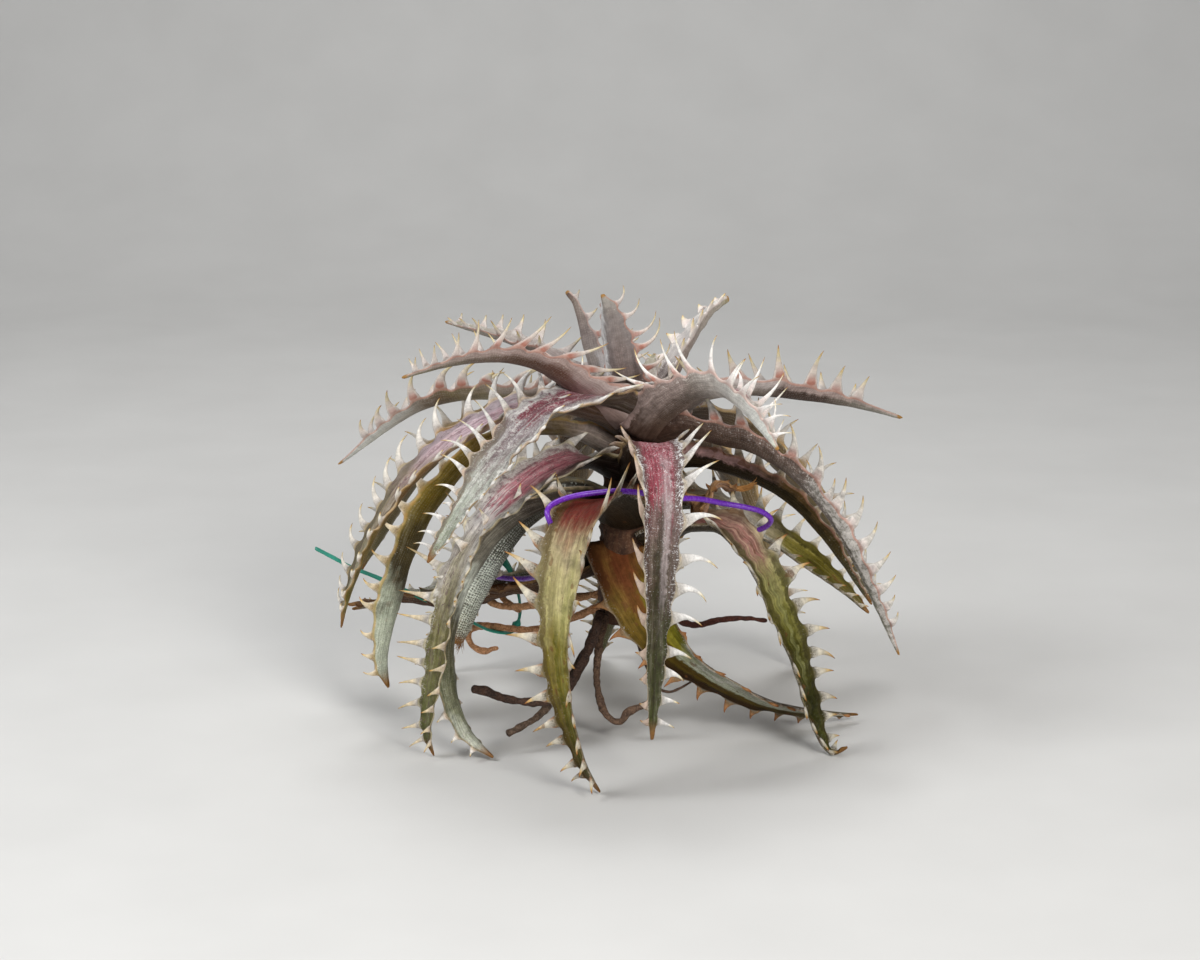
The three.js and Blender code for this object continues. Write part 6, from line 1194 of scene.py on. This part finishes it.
    "crown_leaf_left_back": dict(base="young", shape=dict(keel=0.8, lump=0.25), look=dict(tone=0.9, relief=0.3, scurf_back=0.05, edge_back=(0.6, 0.42, 0.38), lower=[(0.0, (0.05, 0.03, 0.02)), (0.25, (0.3, 0.24, 0.23)), (0.42, (0.5, 0.44, 0.42)), (0.56, (0.46, 0.4, 0.36)), (0.66, (0.34, 0.28, 0.26)), (0.9, (0.3, 0.24, 0.2)), (1.0, (0.1, 0.05, 0.03))],
            stripes=[{"at": -0.85, "wide": 0.2, "from": 0.25, "to": 0.54, "colour": (0.86, 0.82, 0.82), "strength": 0.85, "below": True}])),
    "right_leaf_arch_front": dict(base="young", patch={"from": 0.38, "to": 0.6, "wide": 0.8, "soft": 0.11, "strength": 0.85, "ragged": 0.08, "colour": (0.42, 0.03, 0.08), "light": (0.66, 0.24, 0.3)}, shape=dict(keel=0.7, hook=([(0, -10), (0.4, -25), (1, -20)], [(0, 30), (0.5, 50), (1, 35)]), lean=([(0.13, 50), (0.4, 35), (0.7, 18), (1, 10)], [(0.13, 60), (0.3, 45), (0.5, 22), (0.68, 0), (0.97, -8)]), size=([(0, 0.9), (0.4, 1.4), (0.75, 1.9), (1, 1.6)], [(0, 1), (0.5, 1.05), (0.9, 1.4)]), jitter=11),
        look=dict(tone=1.22, salmon_to=0.5, streaks=0.12, fine=0.14, mottle=0.3, spine=SPINE_BRIGHT, edge_back=(0.6, 0.4, 0.35), lower=[(0.0, (0.045, 0.022, 0.015)), (0.14, (0.12, 0.075, 0.052)), (0.35, (0.13, 0.098, 0.078)), (0.48, (0.17, 0.145, 0.12)), (0.6, (0.52, 0.485, 0.44)), (0.74, (0.8, 0.8, 0.75)), (0.9, (0.8, 0.82, 0.77)), (1.0, (0.66, 0.68, 0.56))],
            stripes=[{"at": 0.9, "wide": 0.16, "from": 0.0, "to": 0.24, "colour": (0.5, 0.36, 0.33), "strength": 0.75, "below": True}, {"at": -0.88, "wide": 0.14, "from": 0.2, "to": 0.6, "colour": (0.5, 0.46, 0.44), "strength": 0.7, "below": True}, {"at": 0.8, "wide": 0.4, "soft": 0.8, "from": 0.1, "to": 0.46, "colour": (0.42, 0.34, 0.31), "strength": 0.7, "below": True}], scurf_edge_back=0.2)),
    "right_leaf_straight_back": dict(base="young", shape=dict(spines=6, last=0.86, stout=1.35, thick=1.3, keel=0.6, hook=[(0, 10), (1, 30)], size=[(0, 1.1), (0.7, 1.4)]), look=dict(lower=[(0.0, (0.05, 0.025, 0.018)), (0.26, (0.46, 0.4, 0.34)), (0.4, (0.32, 0.27, 0.22)), (0.5, (0.045, 0.024, 0.015)), (0.64, (0.05, 0.028, 0.018)), (0.78, (0.22, 0.19, 0.15)), (1.0, (0.4, 0.4, 0.35))], pale=(0.4, 0.34, 0.3), scurf_back=0.06,
            stripes=[{"at": 0.92, "wide": 0.28, "from": 0.12, "to": 0.46, "colour": (0.84, 0.76, 0.74), "strength": 0.85, "soft": 0.9, "below": True}, {"at": 0.94, "wide": 0.2, "from": 0.44, "to": 0.95, "colour": (0.6, 0.46, 0.42), "strength": 0.75, "soft": 0.8, "below": True}])),
    "right_leaf_long_arch": dict(base="young", patch={"from": 0.4, "to": 0.6, "wide": 0.5, "soft": 0.12, "ragged": 0.1, "colour": (0.26, 0.07, 0.08), "light": (0.48, 0.3, 0.3), "strength": 0.6}, shape=dict(spines=13, last=0.93, hook=[(0, 0), (0.4, -40), (1, -45)], lean=[(0.13, 30), (0.4, 14), (1, 4)], wrinkle=0.24, wrinkle_back=0.12, stout=1.35, size=[(0, 1), (0.5, 1.0), (0.8, 1.2), (0.95, 0.9)]),
        look=dict(scurf_back=[(0.0, 0.02), (0.4, 0.08), (0.55, 0.4), (1.0, 0.55)], scurf_edge_back=0.24, salmon_to=0.5, mottle=0.45, streaks=0.2, pits=0.5, spine=SPINE_WHITE, pale=(0.4, 0.36, 0.33), upper=[(0.0, (0.2, 0.1, 0.09)), (0.4, (0.36, 0.28, 0.26)), (0.53, (0.32, 0.26, 0.23)), (0.63, (0.12, 0.09, 0.06)), (0.78, (0.12, 0.12, 0.07)), (1.0, (0.3, 0.31, 0.24))], scurf=[(0.0, 0.3), (0.5, 0.3), (0.6, 0.1), (1.0, 0.2)], scurf_edge=0.25,
            # partly painted shade: the underside's ramp stays dark over its first half, darker than the tissue, where
            # this underside is in shade
            lower=[(0.0, (0.05, 0.024, 0.015)), (0.12, (0.07, 0.036, 0.023)), (0.28, (0.085, 0.05, 0.03)), (0.42, (0.095, 0.068, 0.05)), (0.54, (0.14, 0.115, 0.095)), (0.64, (0.12, 0.10, 0.075)), (0.8, (0.17, 0.165, 0.12)), (1.0, (0.36, 0.36, 0.28))],
            stripes=[{"at": 0.86, "wide": 0.18, "from": 0.1, "to": 0.5, "colour": (0.19, 0.13, 0.105), "strength": 0.6, "below": True}, {"at": 0.7, "wide": 0.26, "from": 0.52, "to": 0.96, "colour": (0.46, 0.44, 0.38), "strength": 0.85, "scurf": 0.35, "below": True}, {"at": 0.0, "wide": 0.9, "from": 0.56, "to": 0.82, "colour": (0.075, 0.06, 0.04), "strength": 0.8, "scurf": -0.1}])),
    # partly painted shade: this olive-brown leaf's ramps, the underside's most of all, are darkened to the shade it
    # lies in under the arch above
    "right_leaf_under_arch": dict(base="old", look=dict(upper=[(0.0, (0.03, 0.012, 0.006)), (0.2, (0.10, 0.04, 0.015)), (0.4, (0.09, 0.07, 0.01)), (0.7, (0.10, 0.09, 0.01)), (1.0, (0.14, 0.125, 0.05))],
            lower=[(0.0, (0.012, 0.006, 0.004)), (0.25, (0.02, 0.01, 0.005)), (0.5, (0.022, 0.013, 0.001)), (0.63, (0.038, 0.024, 0.003)), (0.78, (0.08, 0.055, 0.012)), (1.0, (0.14, 0.13, 0.07))], stripes=[{"at": 0.9, "wide": 0.22, "from": 0.1, "to": 0.42, "colour": (0.6, 0.36, 0.34), "strength": 0.95, "soft": 0.6, "below": True}, {"at": 0.9, "wide": 0.2, "from": 0.4, "to": 0.66, "colour": (0.13, 0.07, 0.02), "strength": 0.7, "below": True}], pale=(0.14, 0.10, 0.03), weave=0.08, mottle=0.4, scurf_back=[(0, 0.0), (0.62, 0.0), (0.8, 0.2), (1, 0.3)], scurf_edge_back=0.1, edge_back=(0.4, 0.19, 0.13), edge_alt=(0.5, 0.3, 0.16))),
    "right_leaf_low_back": dict(base="old", look=dict(tone=1.35, mottle=0.4, line=0.4, scurf_edge=0.35, upper=[(0.0, (0.05, 0.02, 0.01)), (0.24, (0.26, 0.2, 0.14)), (0.38, (0.78, 0.7, 0.6)), (0.5, (0.62, 0.52, 0.28)), (0.6, (0.5, 0.42, 0.07)), (0.72, (0.16, 0.13, 0.005)), (1.0, (0.12, 0.09, 0.02))], lower=[(0.0, (0.012, 0.006, 0.004)), (0.4, (0.10, 0.085, 0.016)), (1.0, (0.13, 0.12, 0.02))],
            stripes=[{"at": 0.8, "wide": 0.32, "from": 0.38, "to": 0.58, "colour": (0.95, 0.95, 0.85), "strength": 0.95, "scurf": 0.5}, {"at": -0.85, "wide": 0.3, "from": 0.48, "to": 0.98, "colour": (0.06, 0.048, 0.002), "strength": 0.9, "scurf": -0.6}])),
    # painted light and shade on left_leaf_cut_short: the dark underside band along one side is a painted shadow, and
    # the near-black base of its lower ramp is painted shade. Its high tone partly paints light onto a leaf that sits
    # in shade. The silver scales and their rows are its own.
    "left_leaf_cut_short": dict(base="silver", shape={"fibres": 26, "channel": 0.75}, look=dict(tone=1.42, dark=(0.08, 0.08, 0.055), scurf_colour=(0.95, 0.98, 0.88), stripes=[{"at": 0.74, "wide": 0.3, "soft": 0.6, "from": 0.35, "to": 0.88, "colour": (0.035, 0.02, 0.01), "strength": 0.85, "scurf": -0.5, "below": True}], lower=[(0.0, (0.012, 0.006, 0.002)), (0.3, (0.025, 0.016, 0.01)), (0.42, (0.018, 0.014, 0.009)), (0.53, (0.13, 0.135, 0.11)), (0.66, (0.68, 0.74, 0.66)), (0.8, (0.92, 0.97, 0.82)), (0.92, (0.5, 0.48, 0.34)), (1.0, (0.16, 0.07, 0.03))], weave=[(0.0, 0.05), (0.42, 0.2), (0.56, 0.9), (1.0, 0.9)], scurf_back=[(0.0, 0.0), (0.45, 0.03), (0.65, 0.25)], pale=(0.85, 0.9, 0.82))),
    "low_leaf_back_left": dict(base="silver"),
    "back_leaf_centre": dict(base="mid", patch=BACK_PATCH, look=dict(tone=1.3)),
    "back_leaf_left_of_centre": dict(base="mid", patch=BACK_PATCH, look=dict(tone=1.25)),
    "back_leaf_right": dict(base="mid", patch=BACK_PATCH, look=dict(tone=1.3)),
    "back_leaf_left": dict(base="mid", patch=BACK_PATCH, look=dict(tone=1.25)),
    "dry_leaf_left": dict(base="dead", shape=dict(crumple=1.2, wave=0.15)),
    "dry_leaf_right": dict(base="dead", shape=dict(crumple=1.8, wave=0.3, fibres=16), look=dict(tone=1.5, pale=(0.62, 0.4, 0.24), upper=[(0.0, (0.1, 0.05, 0.025)), (0.4, (0.24, 0.11, 0.05)), (0.7, (0.46, 0.26, 0.13)), (1.0, (0.2, 0.09, 0.03))], lower=[(0.0, (0.08, 0.04, 0.02)), (0.45, (0.22, 0.09, 0.05)), (0.72, (0.5, 0.3, 0.18)), (1.0, (0.2, 0.08, 0.03))])),
}

# ------------------------------------------------------------------ build the leaves
for k, (name, leaf) in enumerate(LEAVES.items()):
    style = STYLE.get(name, {})
    leaf = {**leaf, "seed": 11 + 7 * k, **style.get("shape", {})}
    ob, cv = leaf_mesh(name + "_visual", leaf)
    base = style.get("base", leaf["age"])
    look = look_of(base, seed=k, **style.get("look", {}))
    if style.get("patch"):
        look["patch"] = {**PATCH, **style["patch"]}
    finish_piece(ob, name, leaf_material(name + "_finish", look))


# ------------------------------------------------------------------ round things
def tube_mesh(name, rows, sides, steps, rough_mm=0.0, freq=0.8, subdiv=0, seed=0, knots=0.0):
    cv = Curve(rows)
    V, U, F = [], [], []
    for i in range(steps + 1):
        u = i / steps
        P, T, N, B, ex = cv.at(u)
        r = ex[0]
        r *= 1 + knots * (noise.noise(Vector((u * cv.length * 0.35, seed * 3.3, 1.7))))
        for k in range(sides):
            a = 2 * math.pi * k / sides
            d = N * math.cos(a) + B * math.sin(a)
            p = P + d * r
            p = p + d * rough_mm * noise.noise(Vector((p[0] * freq + seed, p[1] * freq, p[2] * freq)))
            V.append(p)
            U.append((u * cv.length, k / sides, 0.0))
    for i in range(steps):
        for k in range(sides):
            a, b = i * sides + k, i * sides + (k + 1) % sides
            F.append((a, b, b + sides, a + sides))
    # rounded ends
    for o, sgn in ((0, -1), (steps * sides, 1)):
        P, T, N, B, ex = cv.at(0 if sgn < 0 else 1)
        ring = list(range(o, o + sides))
        for q in (0.55, 0.12):
            new = []
            for k in ring:
                c = P + (V[o + (k - ring[0])] - P) * q
                V.append(c + T * sgn * ex[0] * (0.35 if q == 0.55 else 0.45))
                U.append(U[o + (k - ring[0])])
                new.append(len(V) - 1)
            for k in range(sides):
                F.append((ring[k], ring[(k + 1) % sides], new[(k + 1) % sides], new[k]))
            ring = new
        F.append(tuple(ring))
    return new_object(name, V, F, {"along_mm": U}, subdiv=subdiv)


def root_material(name, dark, light, seed):
    g = Nodes(name)
    geo = g.t.nodes.new("ShaderNodeTexCoord").outputs["Object"]
    a = g.noise(geo, 900.0, 4.0, 0.65)
    b = g.noise(geo, 3200.0, 3.0, 0.6)
    c = g.mix(g.span(a, 0.35, 0.68, 0.0, 1.0), dark, light)
    c = g.mix(g.span(b, 0.45, 0.75, 0.0, 0.6), c, tuple(min(1, x * 1.9 + 0.03) for x in light))
    g.bump(g.math("ADD", a, g.math("MULTIPLY", b, 0.5)), 0.9, 0.00025)
    return g.finish(c, g.span(a, 0.3, 0.7, 0.7, 0.95), 0.3)


ROOT_LOOK = {
    "root_dark_upper": ((0.016, 0.008, 0.005), (0.06, 0.03, 0.018)),
    "root_dark_lower": ((0.022, 0.013, 0.008), (0.11, 0.07, 0.045)),
    "root_below_stem": ((0.03, 0.016, 0.01), (0.13, 0.075, 0.045)),
    "root_hair_right": ((0.03, 0.017, 0.012), (0.09, 0.05, 0.03)),
    "root_behind_right": ((0.03, 0.008, 0.005), (0.09, 0.025, 0.014)),
    "root_tan_outer": ((0.2, 0.09, 0.035), (0.52, 0.28, 0.14)),
    "root_tan_inner": ((0.2, 0.088, 0.034), (0.5, 0.26, 0.13)),
}
for k, (name, rows) in enumerate(ROOTS.items()):
    thin = rows[0][3] < 0.5
    ob = tube_mesh(name + "_visual", rows, 10, 22 * (len(rows) - 1) // 2, rough_mm=0.05 if thin else 0.3, freq=1.1, subdiv=1, seed=k + 1, knots=0.1 if thin else 0.35)
    finish_piece(ob, name, root_material(name + "_finish", *ROOT_LOOK[name], k))

# wire
wire = tube_mesh("wire_tie_purple_visual", [[*p, 0.52] for p in WIRE], 14, 260, subdiv=0)
g = Nodes("wire_finish")
geo = g.t.nodes.new("ShaderNodeTexCoord").outputs["Object"]
tone = g.noise(geo, 120.0, 2.0, 0.5)
fleck = g.noise(geo, 2600.0, 2.0, 0.5)
col = g.mix(g.span(tone, 0.3, 0.7, 0.0, 1.0), (0.10, 0.014, 0.30), (0.16, 0.03, 0.44))
col = g.mix(g.span(fleck, 0.62, 0.8, 0.0, 0.5), col, (0.42, 0.3, 0.62))
g.bump(g.noise(geo, 900.0, 2.0, 0.5), 0.25, 0.00008)
finish_piece(wire, "wire_tie_purple", g.finish(col, g.span(fleck, 0.3, 0.8, 0.22, 0.4), 0.5))

# green tie: a flat strip with a rib down its middle
for name, rows in TIES.items():
    cv = Curve(rows)
    V, F, U = [], [], []
    prof = [(-1, 0.22), (-0.55, 0.24), (-0.22, 0.3), (0, 0.5), (0.22, 0.3), (0.55, 0.24), (1, 0.22), (1, -0.22), (0.4, -0.24), (0, -0.36), (-0.4, -0.24), (-1, -0.22)]
    steps = 120
    for i in range(steps + 1):
        u = i / steps
        P, T, N, B, ex = cv.at(u)
        for s, t in prof:
            crinkle = 0.16 * noise.noise(Vector((u * 16, s * 1.4, 2.2)))
            V.append(P + B * (s * 1.05) + N * (t * 0.8 + crinkle))
            U.append((u * cv.length, s, t))
    m = len(prof)
    for i in range(steps):
        for k in range(m):
            a, b = i * m + k, i * m + (k + 1) % m
            F.append((a, b, b + m, a + m))
    F.append(tuple(range(m)))
    F.append(tuple(range(steps * m, steps * m + m)))
    ob = new_object(name + "_visual", V, F, {"along_mm": U}, subdiv=1)
    g = Nodes(name + "_finish")
    geo = g.t.nodes.new("ShaderNodeTexCoord").outputs["Object"]
    a = g.noise(geo, 260.0, 3.0, 0.5)
    b = g.noise(geo, 1500.0, 3.0, 0.6)
    col = g.mix(g.span(a, 0.3, 0.7, 0.0, 1.0), (0.01, 0.17, 0.12), (0.03, 0.33, 0.24))
    col = g.mix(g.span(b, 0.6, 0.8, 0.0, 0.35), col, (0.2, 0.45, 0.36))
    g.bump(b, 0.4, 0.0001)
    finish_piece(ob, name, g.finish(col, g.span(b, 0.3, 0.7, 0.42, 0.62), 0.4))

# ------------------------------------------------------------------ stem
def stem_mesh():
    V, F, A = [], [], []
    sides = 56
    zs = np.array([p[0] for p in STEM_PROFILE])
    rs = np.array([p[1] for p in STEM_PROFILE])
    rings = 70
    for i in range(rings + 1):
        z = mix(zs[0], zs[-1], i / rings)
        r = np.interp(z, zs, rs)
        for k in range(sides):
            a = 2 * math.pi * k / sides
            # old leaf scars: slanting rings, each a little lip
            s = (z * 0.52 + 0.9 * math.sin(a + z * 0.35) + 0.35 * math.sin(3 * a + 1.3)) % 1.0
            lip = 0.35 * (s ** 3)
            nz = 0.35 * noise.noise(Vector((math.cos(a) * 2.2, math.sin(a) * 2.2, z * 0.35)))
            fib = 0.1 * noise.noise(Vector((math.cos(a) * 9, math.sin(a) * 9, z * 0.5)))
            rr = r - 0.35 + lip + nz + fib
            V.append((STEM_CENTRE[0] + rr * math.cos(a), STEM_CENTRE[1] + rr * math.sin(a), z))
            A.append((z, a, 0.0))
    for i in range(rings):
        for k in range(sides):
            a, b = i * sides + k, i * sides + (k + 1) % sides
            F.append((a, b, b + sides, a + sides))
    # the trimmed lower end, flat, with a rougher rim
    for o, z in ((0, zs[0]), (rings * sides, zs[-1])):
        ring = list(range(o, o + sides))
        for q in (0.9, 0.6, 0.25):
            new = []
            for k in range(sides):
                x, y, _ = V[o + k]
                V.append((STEM_CENTRE[0] + (x - STEM_CENTRE[0]) * q, STEM_CENTRE[1] + (y - STEM_CENTRE[1]) * q, z + (0.12 * noise.noise(Vector((x * q, y * q, 3))) if o == 0 else 0.3 * (1 - q))))
                A.append((z, k / sides, 1.0))
                new.append(len(V) - 1)
            for k in range(sides):
                F.append((ring[k], ring[(k + 1) % sides], new[(k + 1) % sides], new[k]))
            ring = new
        F.append(tuple(ring))
    return new_object("stem_visual", V, F, {"stem_mm": A})


stem = stem_mesh()
g = Nodes("stem_finish")
geo = g.t.nodes.new("ShaderNodeTexCoord").outputs["Object"]
a = g.noise(g.scale(geo, (1, 1, 0.35)), 620.0, 4.0, 0.6)
b = g.noise(geo, 2400.0, 3.0, 0.6)
col = g.mix(g.span(a, 0.33, 0.68, 0.0, 1.0), (0.03, 0.013, 0.008), (0.12, 0.055, 0.03))
col = g.mix(g.span(b, 0.5, 0.75, 0.0, 0.5), col, (0.24, 0.15, 0.09))
g.bump(g.math("ADD", a, g.math("MULTIPLY", b, 0.4)), 0.9, 0.0004)
finish_piece(stem, "stem", g.finish(col, g.span(a, 0.3, 0.7, 0.7, 0.95), 0.3))

# ------------------------------------------------------------------ floor, light, camera
def stage_material():
    g = Nodes("floor_finish")
    geo = g.t.nodes.new("ShaderNodeTexCoord").outputs["Object"]
    a = g.noise(geo, 30.0, 3.0, 0.5)
    return g.finish(g.mix(g.span(a, 0.3, 0.7, 0.0, 1.0), (0.63, 0.625, 0.61), (0.66, 0.655, 0.64)), 0.6, 0.3)


S = 1.6
me = bpy.data.meshes.new("floor")
pts, faces = [], []
cols = 24
prof = [(-S, 0.0), (0.45, 0.0)] + [(0.45 + 0.3 * math.sin(t), 0.3 - 0.3 * math.cos(t)) for t in np.linspace(0.12, math.pi / 2, 12)] + [(0.75, 1.6)]
for y, z in prof:
    for x in (-2.2, 2.2):
        pts.append((x, y, z - 0.0002))
for i in range(len(prof) - 1):
    faces.append((2 * i, 2 * i + 1, 2 * i + 3, 2 * i + 2))
me.from_pydata(pts, [], faces)
floor = bpy.data.objects.new("floor", me)
bpy.context.collection.objects.link(floor)
me.polygons.foreach_set("use_smooth", [True] * len(me.polygons))
me.materials.append(stage_material())


def area_light(name, loc, target, size, power, colour=(1, 1, 1)):
    ld = bpy.data.lights.new(name, "AREA")
    ld.shape = "RECTANGLE"
    ld.size, ld.size_y = size
    ld.energy = power
    ld.color = colour
    lo = bpy.data.objects.new(name, ld)
    lo.location = loc
    lo.rotation_euler = (Vector(target) - Vector(loc)).to_track_quat("-Z", "Y").to_euler()
    bpy.context.collection.objects.link(lo)
    return lo


area_light("key", (0.24, -0.58, 0.34), (0, 0, 0.045), (0.2, 0.2), 3.7, (1.0, 0.985, 0.96))
area_light("left", (-0.42, -0.25, 0.45), (0, 0, 0.045), (0.25, 0.25), 2.6, (0.98, 0.99, 1.0))
area_light("top", (0.0, 0.3, 0.7), (0, 0, 0.04), (0.3, 0.3), 2.0)
world = bpy.data.worlds.new("studio")
world.use_nodes = True
world.node_tree.nodes["Background"].inputs["Color"].default_value = (0.9, 0.93, 1.0, 1.0)
world.node_tree.nodes["Background"].inputs["Strength"].default_value = 0.1
bpy.context.scene.world = world

# camera: 13.5 degrees above the horizon, 550 mm from the stem
cam_data = bpy.data.cameras.new("camera")
cam_data.sensor_fit = "HORIZONTAL"
cam_data.sensor_width = 36.0
cam_data.lens = 84.15
cam_data.clip_start = 0.01
cam = bpy.data.objects.new("camera", cam_data)
e = math.radians(13.5)
right = np.array([1.0, 0, 0]); up = np.array([0, math.sin(e), math.cos(e)]); fwd = np.array([0, math.cos(e), -math.sin(e)])
eye = -(30.0 / 5.1) * right + (249.0 / 5.1) * up - 550.0 * fwd + SHIFT
cam.location = tuple(eye * MM)
cam.rotation_euler = (math.pi / 2 - e, 0, 0)
bpy.context.collection.objects.link(cam)
bpy.context.scene.camera = cam

sc = bpy.context.scene
sc.view_settings.view_transform = "Standard"
sc.view_settings.look = "None"
